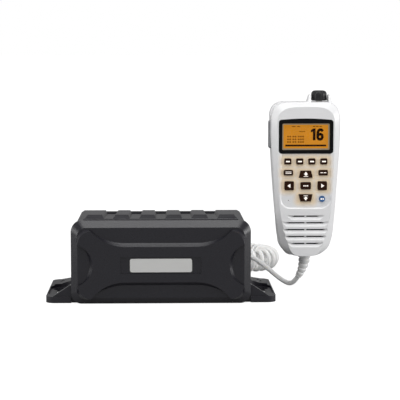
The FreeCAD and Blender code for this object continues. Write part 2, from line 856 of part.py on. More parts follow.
def many_sided(centre, way, radius, sides):
    across = way.cross(Vector(0, 0, 1)).normalize()
    upward = across.cross(way).normalize()
    corners = []
    for i in range(sides):
        turn = 2 * math.pi * (i + 0.5) / sides
        corners.append(centre + across * (radius * math.cos(turn)) + upward * (radius * math.sin(turn)))
    return closed(corners)


def make_curls():
    places = curl_turn_places()
    last = len(places) - 1
    start, way_in, end, way_out = curl_ends()
    edges = [Part.LineSegment(start, curl_point(places, 0.0)).toShape()]
    for quarter in range(0, last, curl_biarc):
        ahead = quarter + curl_biarc
        a, b = curl_point(places, float(quarter)), curl_point(places, float(ahead))
        edges += biarc(a, curl_heading(places, float(quarter)), b, curl_heading(places, float(ahead)))
    edges.append(Part.LineSegment(curl_point(places, float(last)), end).toShape())
    path = Part.Wire(edges)
    section = many_sided(start, way_in, cord_radius, curl_sides)
    tube = path.makePipeShell([section], True, False)
    area = Part.Face(section).Area
    print("curls: turns", last / 4, "length", round(path.Length), "volume share",
          round(tube.Volume / (area * path.Length), 4), "valid", tube.isValid())
    print("curls: tightest arc", round(min(e.Curve.Radius for e in edges if hasattr(e.Curve, "Radius")), 2))
    steps = [curl_point(places, q / 8) for q in range(last * 8 + 1)]
    least = 1e9
    for i, p in enumerate(steps):
        for q in steps[i + 20: i + 48]:
            least = min(least, (p - q).Length)
    print("curls: least gap to themselves", round(least - cord_diameter, 2))
    write("cord_curls", tube)


def tube_along(name, points, radius):
    # A round tube on straight runs joined by tangent arcs.
    points = [Vector(*p) for p in points]
    edges = []
    radii = []
    here = points[0]
    for before, corner, after in zip(points, points[1:], points[2:]):
        run_in = corner - before
        run_out = after - corner
        turn = run_in.getAngle(run_out)
        setback = 0.45 * min(run_in.Length, run_out.Length)
        radii.append(setback / math.tan(turn / 2))
        start = corner - run_in.normalize() * setback
        end = corner + run_out.normalize() * setback
        edges.append(Part.LineSegment(here, start).toShape())
        edges.append(arc_from(start, corner, end))
        here = end
    edges.append(Part.LineSegment(here, points[-1]).toShape())
    path = Part.Wire(edges)
    way = (points[1] - points[0]).normalize()
    section = many_sided(points[0], way, radius, lead_sides)
    tube = path.makePipeShell([section], True, False)
    share = tube.Volume / (Part.Face(section).Area * path.Length)
    print(name, "length", round(path.Length, 1), "volume share", round(share, 4), "radii", [round(r) for r in radii],
          "lowest", round(min(v.z for v in tube.tessellate(0.05)[0]), 3))
    write(name, tube)


def boot_line(share):
    # The strain relief's middle line: an arc that starts straight down and leans to the left and back.
    turn = boot_turn * share
    lean = Vector(-0.77, 0.64, 0)
    drop = Vector(0, 0, -1)
    radius = boot_length / boot_turn
    start = Vector(handset_x + boot_x, seam_y, handset_bottom)
    place = start + lean * (radius * (1 - math.cos(turn))) + drop * (radius * math.sin(turn))
    return place, lean * math.sin(turn) + drop * math.cos(turn)


def boot_section(place, way, radius):
    # The sections share one side direction, square to the plane that the boot leans in.
    across = Vector(0.64, 0.77, 0).normalize()
    upward = across.cross(way).normalize()
    corners = []
    for i in range(boot_sides):
        turn = 2 * math.pi * i / boot_sides
        corners.append(place + across * (radius * math.cos(turn)) + upward * (radius * math.sin(turn)))
    return closed(corners)


def make_strain_relief():
    wires = []
    for i in range(boot_ribs):
        for part, dip in ((0.0, 0.0), (0.55, 0.0), (0.7, boot_groove), (0.92, boot_groove)):
            share = (i + part) / boot_ribs
            place, way = boot_line(share)
            radius = boot_radius + (boot_tip_radius - boot_radius) * share - dip
            wires.append(boot_section(place, way, radius))
    place, way = boot_line(1.0)
    wires.append(boot_section(place, way, boot_tip_radius - 0.2))
    write("strain_relief", Part.makeLoft(wires, True, True))


def front_lead_route():
    tip, way = boot_line(1.0)
    start, way_in, _, _ = curl_ends()
    after_tip = tip + way * 7.5
    before_curls = start - way_in * 13.0
    return [
        tuple(tip), tuple(after_tip),
        (131.0, 41.6, 2.7), (122.0, 52.0, 7.0), (110.0, 68.0, 16.0), (97.5, 87.0, 23.5), (85.0, 106.0, 25.5),
        tuple(before_curls), tuple(start),
    ]


def rear_lead_route():
    _, _, end, way_out = curl_ends()
    before_curls = end + way_out * 16.0
    y = plug_end()
    return [
        (handset_socket_x, y, socket_height), (handset_socket_x, y + 14.0, socket_height),
        (-44.0, y + 34.0, 30.0), (-47.0, y + 52.0, 12.0), (-46.0, y + 70.0, 2.6), (-38.0, y + 91.0, 2.6),
        (-24.0, y + 110.0, 2.6), (-6.0, y + 124.0, 2.6), (14.0, y + 132.0, 2.6), (33.0, y + 131.0, 2.6),
        tuple(before_curls), tuple(end),
    ]


def handset_outline(inset):
    # Front view: a narrow foot, sides that flare on a long arc, a broad head.
    y = handset_front + inset

    def spot(side, x, z):
        return Vector(handset_x + side * (x - inset), y, handset_bottom + z)

    def flank(side):
        heel = spot(side, foot_side_half, foot_side_height + inset * 0.4)
        shoulder = spot(side, shoulder_half, shoulder_rise)
        return heel, Part.Arc(heel, spot(side, waist_half, waist_height), shoulder).toShape(), shoulder

    toe_right = Vector(handset_x + foot_half - inset * 0.6, y, handset_bottom + inset)
    toe_left = Vector(handset_x - foot_half + inset * 0.6, y, handset_bottom + inset)
    top_right = spot(1, shoulder_half, handset_height - inset)
    top_left = spot(-1, shoulder_half, handset_height - inset)
    heel_right, flank_right, head_right = flank(1)
    heel_left, flank_left, head_left = flank(-1)
    runs = [(toe_left, toe_right), (toe_right, heel_right), (head_right, top_right), (top_right, top_left),
            (top_left, head_left), (heel_left, toe_left)]
    lines = [Part.LineSegment(a, b).toShape() for a, b in runs]
    return Part.Wire([lines[0], lines[1], flank_right, lines[2], lines[3], lines[4], flank_left, lines[5]])


def handset_block(inset):
    depth = handset_depth - 2 * inset
    shape = Part.Face(handset_outline(inset)).extrude(Vector(0, depth, 0))
    along = Vector(0, 1, 0)

    def near(height):
        return lambda c: abs(c.z - handset_bottom - height) < 1e-3

    top = edges_along(shape, along, near(handset_height - inset))
    shape = shape.makeFillet(top_corner - inset * 0.8, top)
    low = edges_along(shape, along, near(foot_side_height + inset * 0.4))
    shape = shape.makeFillet(foot_side_corner - inset * 0.8, low)
    foot = edges_along(shape, along, near(inset))
    shape = shape.makeFillet(foot_corner - inset * 0.5, foot)
    front_rim = edges_at(shape, "Y", handset_front + inset)
    if inset > 0:
        shape = shape.makeChamfer(max(front_round - inset, 0.5), front_rim)
        return shape.makeChamfer(max(rear_round - inset, 0.5), edges_at(shape, "Y", handset_rear - inset))
    shape = shape.makeFillet(front_round, front_rim)
    return shape.makeFillet(rear_round, edges_at(shape, "Y", handset_rear))


def at(x, y, z):
    return (handset_x + x, y, handset_bottom + z)


def hblock(x0, x1, y0, y1, z0, z1):
    return block(handset_x + x0, handset_x + x1, y0, y1, handset_bottom + z0, handset_bottom + z1)


def key_prism(row, grow, y0, y1):
    # One key's outline, grown all round, as a solid from y0 to y1.
    _, x, z, width, height, narrow = row
    half = width / 2 + grow
    tall = height / 2 + grow
    top = half - max(narrow, 0) / 2
    low = half + min(narrow, 0) / 2
    pairs = [(handset_x + x - low, handset_bottom + z - tall), (handset_x + x + low, handset_bottom + z - tall),
             (handset_x + x + top, handset_bottom + z + tall), (handset_x + x - top, handset_bottom + z + tall)]
    shape = prism_y(pairs, y0, y1)
    return shape.makeFillet(key_corner, edges_along(shape, Vector(0, 1, 0)))


def frame_prism(grow, y0, y1):
    # The display frame's outline, its top gently arched.
    left = handset_x - frame_half - grow
    right = handset_x + frame_half + grow
    low = handset_bottom + frame_low - grow
    high = handset_bottom + frame_high + grow
    a, b = Vector(right, y0, high), Vector(left, y0, high)
    crown = Vector(handset_x, y0, high + frame_arch)
    edges = [
        Part.LineSegment(Vector(left, y0, low), Vector(right, y0, low)).toShape(),
        Part.LineSegment(Vector(right, y0, low), a).toShape(),
        Part.Arc(a, crown, b).toShape(),
        Part.LineSegment(b, Vector(left, y0, low)).toShape(),
    ]
    shape = Part.Face(Part.Wire(edges)).extrude(Vector(0, y1 - y0, 0))
    return shape.makeFillet(3.0, edges_along(shape, Vector(0, 1, 0)))


def grille_slots():
    cuts = []
    for z, half in slot_rows:
        for x0, x1 in ((-half, -slot_gap), (slot_gap, half)):
            cuts.append(hblock(x0, x1, handset_front - 3, inner_face + 1, z - slot_height / 2, z + slot_height / 2))
    return cuts


def louvres():
    ribs = []
    for z, half in slot_rows:
        low = handset_bottom + z + slot_height / 2
        pairs = [(handset_front + 0.6, low), (handset_front - louvre_rise, low + 0.3),
                 (handset_front + 0.6, low + louvre_height)]
        reach = half + louvre_extra
        ribs.append(prism_x(pairs, handset_x - reach, handset_x + reach))
    return ribs


def make_knob_guards():
    # Two white cheeks, one each side of the knob, shaped to the top of the shell.
    found = []
    for side in (-1, 1):
        x0 = knob_x + side * cheek_inner
        x1 = x0 + side * cheek_thick
        low, high = sorted((x0, x1))
        cheek = hblock(low, high, seam_y - cheek_half_depth, seam_y + cheek_half_depth,
                       handset_height - cheek_foot, handset_height + cheek_rise)
        edges = edges_along(cheek, Vector(1, 0, 0), lambda c: c.z > handset_bottom + handset_height)
        found.append(cheek.makeFillet(cheek_corner, edges).cut(handset_block(0)))
    write("knob_guards", Part.makeCompound(found))


def ptt_box(grow, x0, x1):
    return hblock(x0, x1, seam_y - ptt_half_depth - grow, seam_y + ptt_half_depth + grow,
                  ptt_low - grow, ptt_high + grow)


def screw_post_places():
    return [(side * x, z) for side in (-1, 1) for x, z in ((post_low_x, post_low_z), (post_high_x, post_high_z))]


def make_handset_shells():
    shell = handset_block(0).cut(handset_block(handset_wall))
    big = 400
    front = shell.common(block(0, big, -100, seam_y, 0, big))
    rear = shell.common(block(0, big, seam_y, 200, 0, big))
    ptt_cut = ptt_box(ptt_clear, -shoulder_half - 5, -shoulder_half + handset_wall + 3)
    shaft_cut = rod(shaft_radius + 0.4, at(knob_x, seam_y, handset_height - 6), (0, 0, 1), 12)
    front = front.cut([ptt_cut, shaft_cut])
    rear = rear.cut([ptt_cut, shaft_cut])

    pad = hblock(-keypad_half, keypad_half, handset_front - 3, handset_front + panel_recess, keypad_low, keypad_high)
    low_corners = edges_along(pad, Vector(0, 1, 0), lambda c: c.z < handset_bottom + keypad_low + 1)
    pad = pad.makeFillet(keypad_corner, low_corners)
    cuts = [pad, frame_prism(fit_gap, handset_front - 3, inner_face + 1)]
    for row in key_rows:
        cuts.append(key_prism(row, key_clear, handset_front - 3, inner_face + 1))
    cuts.append(rod(round_key_radius + key_clear, at(round_key_x, handset_front - 3, round_key_z), (0, 1, 0), 9))
    cuts.append(rod(mic_hole_radius, at(mic_x, handset_front - 3, mic_z), (0, 1, 0), 9))
    front = front.cut(cuts).fuse(louvres()).cut(grille_slots())
    for x, z in screw_post_places():
        front = front.fuse(bar(post_radius, at(x, inner_face - 0.5, z), (0, 1, 0), seam_y - inner_face + 0.5))
        front = front.cut(bar(1.1, at(x, inner_face + 3, z), (0, 1, 0), 30))
        rear = rear.fuse(bar(post_radius, at(x, seam_y, z), (0, 1, 0), handset_rear - handset_wall - seam_y + 0.5))
        rear = rear.cut(bar(1.4, at(x, seam_y - 1, z), (0, 1, 0), 60))
        rear = rear.cut(bar(2.6, at(x, handset_rear - 3.4, z), (0, 1, 0), 10))
    write("handset_front_shell", front.removeSplitter())

    red_hole = rod(red_radius + 0.3, at(0, handset_rear - 5, flap_middle), (0, 1, 0), 10)
    rear = rear.cut(red_hole)
    hinge_z = flap_middle + flap_height / 2 + 1.0
    for side in (-1, 1):
        x0, x1 = sorted((side * (knuckle_half + 0.2), side * (knuckle_half + 0.2 + lug_length)))
        lug = rod(hinge_radius, at(x0, hinge_y(), hinge_z), (1, 0, 0), lug_length)
        foot = hblock(x0, x1, handset_rear - 1, hinge_y(), hinge_z - hinge_radius, hinge_z + hinge_radius)
        rear = rear.fuse([lug, foot])
    rear = rear.cut(rod(pin_radius, at(-20, hinge_y(), hinge_z), (1, 0, 0), 40))
    rear = rear.cut(rod(stud_neck_radius, at(0, handset_rear - 4, stud_height), (0, 1, 0), 10))
    write("handset_rear_shell", rear.removeSplitter())


def hinge_y():
    return handset_rear + flap_gap + hinge_radius


def make_distress():
    hinge_z = flap_middle + flap_height / 2 + 1.0
    y0 = handset_rear + flap_gap
    plate = hblock(-flap_width / 2, flap_width / 2, y0, y0 + flap_thick, flap_middle - flap_height / 2,
                   hinge_z - hinge_radius - 0.4)
    low = edges_along(plate, Vector(0, 1, 0), lambda c: c.z < handset_bottom + flap_middle)
    plate = plate.makeFillet(4.0, low)
    web = hblock(-knuckle_half, knuckle_half, y0, y0 + flap_thick, hinge_z - hinge_radius - 1, hinge_z)
    knuckle = rod(hinge_radius, at(-knuckle_half, hinge_y(), hinge_z), (1, 0, 0), 2 * knuckle_half)
    lip = hblock(-5, 5, y0 + flap_thick - 0.5, y0 + flap_thick + 1.2, flap_middle - flap_height / 2 + 0.5,
                 flap_middle - flap_height / 2 + 2.5)
    cover = joined([plate, web, knuckle, lip])
    cover = cover.cut(rod(pin_radius + pin_clear, at(-20, hinge_y(), hinge_z), (1, 0, 0), 40))
    write("distress_cover", cover.removeSplitter())
    span = knuckle_half + 0.2 + lug_length
    write("distress_pin", rod(pin_radius, at(-span, hinge_y(), hinge_z), (1, 0, 0), 2 * span))
    back = handset_rear - handset_wall
    cap = rod(red_radius, at(0, back - 1.4, flap_middle), (0, 1, 0), handset_wall + 1.2)
    flange = rod(red_radius + 1.2, at(0, back - 1.4, flap_middle), (0, 1, 0), 1.2)
    stem = rod(2.0, at(0, back - 5.4, flap_middle), (0, 1, 0), 4.5)
    write("distress_button", joined([cap, flange, stem]))


def make_handset_inside():
    seal_outer = handset_block(handset_wall + fit_gap)
    seal_inner = handset_block(handset_wall + fit_gap + 1.0)
    ring = seal_outer.cut(seal_inner).common(hblock(-60, 60, seam_y - 0.8, seam_y + 0.8, -5, 200))
    gap = ptt_box(2.0, -shoulder_half - 5, -shoulder_half + 12)
    ceiling = handset_height - handset_wall - fit_gap
    grommet = rod(shaft_radius + 1.6, at(knob_x, seam_y, ceiling - 1.2), (0, 0, 1), 1.2)
    hole = rod(shaft_radius + 0.4, at(knob_x, seam_y, ceiling - 9), (0, 0, 1), 20)
    write("shell_seal", ring.cut(gap).fuse(grommet).cut(hole).removeSplitter())

    front = handset_front - frame_proud
    frame = frame_prism(0, front, front + frame_thick)
    hole = hblock(-window_half, window_half, front - 1, front + frame_thick + 1, window_low, window_high)
    hole = hole.makeFillet(1.2, edges_along(hole, Vector(0, 1, 0)))
    write("display_frame", frame.cut(hole))
    pane = hblock(-window_half + 0.1, window_half - 0.1, front + 0.6, front + 0.6 + window_thick,
                  window_low + 0.1, window_high - 0.1)
    write("display_window", pane.makeFillet(1.1, edges_along(pane, Vector(0, 1, 0))))
    write("lcd_panel", hblock(-window_half - 1.5, window_half + 1.5, front + frame_thick,
                              front + frame_thick + display_thick, window_low - 1.5, window_high + 1.5))

    mat_front = inner_face + key_seat + key_flange_thick + key_travel + mat_clear
    mat = hblock(-keypad_half + 1, keypad_half - 1, mat_front, board_y, keypad_low + 2, keypad_high - 1)
    mic_hole = rod(mic_radius + 0.4, at(mic_x, mat_front - 1, mic_z), (0, 1, 0), 8)
    write("keypad_mat", mat.cut(mic_hole))
    board = hblock(-hand_board_half, hand_board_half, board_y, board_y + board_thick, hand_board_low, hand_board_high)
    posts = [bar(post_radius + 0.4, at(x, board_y - 1, z), (0, 1, 0), 4) for x, z in screw_post_places()]
    write("handset_board", board.cut(posts))
    write("microphone", rod(mic_radius, at(mic_x, inner_face + 0.2, mic_z), (0, 1, 0), board_y - inner_face - 0.2))
    mesh_depth = 0.5
    write("speaker_mesh", bar(speaker_radius + 1, at(0, inner_face, speaker_middle), (0, 1, 0), mesh_depth, 16))
    rim = bar(speaker_radius + 0.8, at(0, inner_face + mesh_depth, speaker_middle), (0, 1, 0), 1.5, 16)
    magnet = bar(speaker_radius / 2, at(0, inner_face + mesh_depth + 1.5, speaker_middle), (0, 1, 0), 7.0, 16)
    write("speaker", joined([rim, magnet]))

    inner_x = -shoulder_half + handset_wall + 3.2 + ptt_travel
    board_back = board_y + board_thick
    write("ptt_switch", hblock(inner_x, inner_x + 5, board_back, seam_y + 3.0, 116, 128))
    encoder = hblock(knob_x - 6, knob_x + 6, board_back, seam_y + 6, 134,
                     handset_height - handset_wall - 4.0 - knob_travel)
    write("encoder", encoder)
    head = stud_neck_length + stud_head_length
    stud = rod(stud_neck_radius, at(0, handset_rear - 3, stud_height), (0, 1, 0), 3 + stud_neck_length)
    stud = stud.fuse(rod(stud_head_radius, at(0, handset_rear + stud_neck_length, stud_height), (0, 1, 0),
                         head - stud_neck_length))
    write("hanger_stud", stud.removeSplitter())
    screws = [screw(at(x, handset_rear - 3.4, z), (0, -1, 0), 18, head_radius=2.4, radius=1.05)
              for x, z in screw_post_places()]
    write("handset_screws", Part.makeCompound(screws))


def make_keys():
    face = handset_front + panel_recess - key_proud
    flange_front = inner_face + key_seat
    flange_back = flange_front + key_flange_thick
    for row in key_rows:
        _, x, z, width, height, _ = row
        half, tall = width / 2 + key_flange, height / 2 + key_flange
        flange = hblock(x - half, x + half, flange_front, flange_back, z - tall, z + tall)
        write(row[0], joined([key_prism(row, 0, face, flange_back), flange]))
    cap = rod(round_key_radius, at(round_key_x, face, round_key_z), (0, 1, 0), flange_back - face)
    flange = bar(round_key_radius + key_flange, at(round_key_x, flange_front, round_key_z), (0, 1, 0), key_flange_thick)
    write("round_key", joined([cap, flange]))


def make_knob():
    low = handset_height + knob_gap
    base = Vector(*at(knob_x, seam_y, low))
    knob = Part.makeCone(knob_radius, knob_top_radius, knob_height, base, Vector(0, 0, 1))
    knob = knob.makeChamfer(0.9, edges_at(knob, "Z", base.z + knob_height))
    grips = []
    for i in range(knob_grips):
        turn = 360.0 * i / knob_grips
        grip = block(-grip_width / 2, grip_width / 2, knob_radius - grip_depth, knob_radius + 2, grip_start, knob_height + 1)
        grip.rotate(Vector(0, 0, 0), Vector(0, 0, 1), turn)
        grip.translate(base)
        grips.append(grip)
    bore = rod(shaft_radius + shaft_clear, tuple(base), (0, 0, 1), 7.0)
    write("selector_knob", knob.cut(grips + [bore]))
    shaft_low = handset_height - handset_wall - 3.0
    write("knob_shaft", rod(shaft_radius, at(knob_x, seam_y, shaft_low), (0, 0, 1), low + 6.8 - shaft_low))


def make_ptt():
    outer = -shoulder_half - ptt_proud
    bar = ptt_box(0, outer, -shoulder_half + handset_wall + 1.6)
    bar = bar.makeFillet(2.0, edges_along(bar, Vector(0, 1, 0), lambda c: c.x < handset_x + outer + 0.1))
    flange = ptt_box(1.2, -shoulder_half + handset_wall + 1.4, -shoulder_half + handset_wall + 2.6)
    write("ptt_button", joined([bar, flange]))


os.makedirs("parts", exist_ok=True)
make_upper_case()
make_lower_case()
make_front_cover()
make_cover_seal()
make_name_plate()
make_rear_panel()
make_sockets()
make_electronics()
make_screws()
make_plug()
make_curls()
tube_along("cord_lead_front", front_lead_route(), cord_radius)
tube_along("cord_lead_rear", rear_lead_route(), cord_radius)
make_strain_relief()
make_handset_shells()
make_distress()
make_handset_inside()
make_keys()
make_knob()
make_knob_guards()
make_ptt()
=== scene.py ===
import bmesh
import bpy
import json
import math
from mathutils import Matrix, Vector


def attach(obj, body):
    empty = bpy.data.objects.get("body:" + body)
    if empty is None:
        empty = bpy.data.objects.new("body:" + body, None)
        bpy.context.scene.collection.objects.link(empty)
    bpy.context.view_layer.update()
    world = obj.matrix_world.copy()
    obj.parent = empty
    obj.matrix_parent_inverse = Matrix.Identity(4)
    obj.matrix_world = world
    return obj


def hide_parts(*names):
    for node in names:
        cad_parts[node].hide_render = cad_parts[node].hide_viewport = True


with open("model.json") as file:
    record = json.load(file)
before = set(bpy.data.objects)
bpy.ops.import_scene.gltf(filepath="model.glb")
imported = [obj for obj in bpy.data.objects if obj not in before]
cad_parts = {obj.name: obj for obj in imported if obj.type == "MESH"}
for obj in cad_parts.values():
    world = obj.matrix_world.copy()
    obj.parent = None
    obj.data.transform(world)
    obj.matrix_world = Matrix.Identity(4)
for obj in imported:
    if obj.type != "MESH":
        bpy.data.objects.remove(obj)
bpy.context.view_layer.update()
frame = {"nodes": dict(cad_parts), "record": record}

cadNodes = frame["nodes"]
bodyNodes = frame["record"]["behaviour"]["bodies"]
nodeBody = {name: body for body, names in bodyNodes.items() for name in names}
mm = 0.001


# camera, fitted to the perspective that the sizes were read in
camera = {"place": (-0.0001, -1.4884, 0.2471), "aim": (0.0261, 1.0, -0.1031), "lens": 136.13, "sensor": 36.0,
          "clipStart": 0.01}
camData = bpy.data.cameras.new("photoCamera")
camData.lens = camera["lens"]
camData.sensor_width = camera["sensor"]
camData.clip_start = camera["clipStart"]
camObject = bpy.data.objects.new("photoCamera", camData)
camObject.location = camera["place"]
camObject.rotation_euler = Vector(camera["aim"]).to_track_quat("-Z", "Y").to_euler()
bpy.context.scene.collection.objects.link(camObject)
bpy.context.scene.camera = camObject
print("camera made")


# materials
def toLinear(channel):
    return channel / 12.92 if channel <= 0.04045 else ((channel + 0.055) / 1.055) ** 2.4


def hexColour(code, gain=1.0):
    parts = [int(code[i:i + 2], 16) / 255 for i in (0, 2, 4)]
    return tuple(min(1.0, toLinear(part) * gain) for part in parts) + (1.0,)


def addNode(tree, kind, inputs=None, **settings):
    node = tree.nodes.new(kind)
    for name, value in settings.items():
        setattr(node, name, value)
    for key, value in (inputs or {}).items():
        if isinstance(value, bpy.types.NodeSocket):
            tree.links.new(value, node.inputs[key])
        else:
            node.inputs[key].default_value = value
    return node


def newMaterial(name):
    made = bpy.data.materials.new(name)
    made.use_nodes = True
    made.node_tree.nodes.clear()
    return made, made.node_tree


# what a finish has unless it says otherwise; grain, mottleSize and softDepth are in mm
plainLook = {"stretch": (1, 1, 1), "roughSpread": 0.05, "bump": 0.15, "bumpShare": 0.25, "mottle": 0.05,
             "mottleSize": 25.0, "ior": 1.5, "metal": 0.0, "sheen": 0.5, "clear": 0.0, "coat": 0.0,
             "coatRough": 0.1, "softDepth": 1.5, "softColour": (1.0, 0.9, 0.8), "grainDetail": 4.0,
             "grainRough": 0.6, "mottleDetail": 3.0, "leastRough": 0.02}
noiseSpan = {"From Min": 0.3, "From Max": 0.7}  # where most of the noise's values lie
black = (0, 0, 0, 1)
whiteLight = (1, 1, 1, 1)


def surfaceMaterial(name, finish):
    look = {**plainLook, **finish}
    made, tree = newMaterial(name)
    coords = addNode(tree, "ShaderNodeTexCoord").outputs["Object"]
    drawn = addNode(tree, "ShaderNodeMapping", {"Vector": coords, "Scale": look["stretch"]})
    grain = look["grain"] * mm
    fine = addNode(tree, "ShaderNodeTexNoise", {
        "Vector": drawn.outputs[0], "Scale": 1 / grain, "Detail": look["grainDetail"],
        "Roughness": look["grainRough"]})
    wide = addNode(tree, "ShaderNodeTexNoise", {
        "Vector": coords, "Scale": 1 / (look["mottleSize"] * mm), "Detail": look["mottleDetail"]})
    tone = addNode(tree, "ShaderNodeMapRange", {"Value": wide.outputs["Fac"], **noiseSpan})
    low, high = (hexColour(look["colour"], 1 + side * look["mottle"]) for side in (-1, 1))
    paint = addNode(tree, "ShaderNodeMix", {0: tone.outputs[0], 6: low, 7: high}, data_type="RGBA").outputs[2]
    if "over" in look:
        paint = look["over"](tree, coords, paint)
    base = paint
    if "dark" in look:
        # a lit film gives its colour by its own light, so its surface is darkened
        shaded = addNode(tree, "ShaderNodeMix", {0: look["dark"], 6: paint, 7: black}, data_type="RGBA")
        base = shaded.outputs[2]
    smoothest = max(look["leastRough"], look["rough"] - look["roughSpread"])
    rough = addNode(tree, "ShaderNodeMapRange", {
        "Value": fine.outputs["Fac"], **noiseSpan, "To Min": smoothest,
        "To Max": look["rough"] + look["roughSpread"]})
    bump = addNode(tree, "ShaderNodeBump", {"Height": fine.outputs["Fac"], "Strength": look["bump"],
                                            "Distance": grain * look["bumpShare"]})
    shader = addNode(tree, "ShaderNodeBsdfPrincipled", {
        "Base Color": base, "Roughness": rough.outputs[0], "Normal": bump.outputs[0],
        "Metallic": look["metal"], "IOR": look["ior"], "Specular IOR Level": look["sheen"],
        "Transmission Weight": look["clear"], "Coat Weight": look["coat"],
        "Coat Roughness": look["coatRough"]})
    if "glow" in look:
        # the plain colour stands under the link, for a reader that skips links
        shader.inputs["Emission Color"].default_value = hexColour(look["colour"])
        tree.links.new(paint, shader.inputs["Emission Color"])
        shader.inputs["Emission Strength"].default_value = look["glow"]
    if "soft" in look:
        shader.inputs["Subsurface Weight"].default_value = look["soft"]
        shader.inputs["Subsurface Radius"].default_value = look["softColour"]
        shader.inputs["Subsurface Scale"].default_value = look["softDepth"] * mm
    surface = shader.outputs[0]
    if "open" in look:
        # this share of the window lets light straight through
        straight = addNode(tree, "ShaderNodeBsdfTransparent", {"Color": whiteLight}).outputs[0]
        surface = addNode(tree, "ShaderNodeMixShader", {0: look["open"], 1: surface, 2: straight}).outputs[0]
    addNode(tree, "ShaderNodeOutputMaterial", {"Surface": surface})
    return made


# the handset's place, in metres; its own x and z below are in mm from there
handset = {"x": 0.1445, "front": 0.010, "bottom": 0.0348, "seam": 0.028}
# each lit key: node, middle x and z, width and height
keyRows = (
    ("soft_key_1", -18.0, 96.1, 6.9, 5.7),
    ("soft_key_2", -6.1, 96.1, 6.9, 5.7),
    ("soft_key_3", 6.0, 96.1, 6.9, 5.7),
    ("soft_key_4", 17.9, 96.1, 6.9, 5.7),
    ("side_key_left", -17.4, 84.9, 9.2, 5.2),
    ("side_key_right", 17.4, 84.9, 9.2, 5.2),
    ("up_key", 0.0, 83.3, 13.8, 6.9),
    ("left_key", -16.5, 71.8, 9.2, 8.6),
    ("centre_key", 0.0, 71.8, 10.3, 6.9),
    ("right_key", 16.5, 71.8, 9.2, 8.6),
    ("down_key", 0.0, 59.7, 13.8, 6.9),
)
roundKey = {"x": 16.4, "z": 58.6, "hole": 3.1}
# painted light: a warm halo of the keys' backlight, painted into the front shell's colour near the keys
paintedKeyHalo = {"colour": "f8e2c2", "near": 0.3, "far": 7.5, "depth": 1.4}  # depth keeps it off the shell's inside


def handsetPoint(x, y, z):
    return Vector((handset["x"] + x * mm, y, handset["bottom"] + z * mm))


def paintedKeyGlow(tree, coords, paint):
    # painted light: a warm halo of the keys' backlight, painted into the shell's colour round each key by the
    # distance to its outline
    place = addNode(tree, "ShaderNodeSeparateXYZ", {"Vector": coords})
    flat = addNode(tree, "ShaderNodeCombineXYZ", {"X": place.outputs[0], "Z": place.outputs[2]}).outputs[0]
    nearest = None
    for _, x, z, width, height in keyRows:
        point = handsetPoint(x, 0, z)
        middle, corner = (point.x, 0, point.z), (width * mm / 2, 0, height * mm / 2)
        off = addNode(tree, "ShaderNodeVectorMath", {0: flat, 1: middle}, operation="SUBTRACT")
        size = addNode(tree, "ShaderNodeVectorMath", {0: off.outputs[0]}, operation="ABSOLUTE")
        past = addNode(tree, "ShaderNodeVectorMath", {0: size.outputs[0], 1: corner}, operation="SUBTRACT")
        out = addNode(tree, "ShaderNodeVectorMath", {0: past.outputs[0], 1: (0, 0, 0)}, operation="MAXIMUM")
        gap = addNode(tree, "ShaderNodeVectorMath", {0: out.outputs[0]}, operation="LENGTH").outputs["Value"]
        if nearest is None:
            nearest = gap
        else:
            nearest = addNode(tree, "ShaderNodeMath", {0: nearest, 1: gap}, operation="MINIMUM").outputs[0]
    halo = addNode(tree, "ShaderNodeMapRange", {
        "Value": nearest, "From Min": paintedKeyHalo["near"] * mm, "From Max": paintedKeyHalo["far"] * mm, "To Min": 1.0,
        "To Max": 0.0}, interpolation_type="SMOOTHSTEP").outputs[0]
    deepest = handset["front"] + paintedKeyHalo["depth"] * mm
    front = addNode(tree, "ShaderNodeMath", {0: place.outputs[1], 1: deepest}, operation="LESS_THAN")
    share = addNode(tree, "ShaderNodeMath", {0: halo, 1: front.outputs[0]}, operation="MULTIPLY").outputs[0]
    warm = hexColour(paintedKeyHalo["colour"])
    return addNode(tree, "ShaderNodeMix", {0: share, 6: paint, 7: warm}, data_type="RGBA").outputs[2]


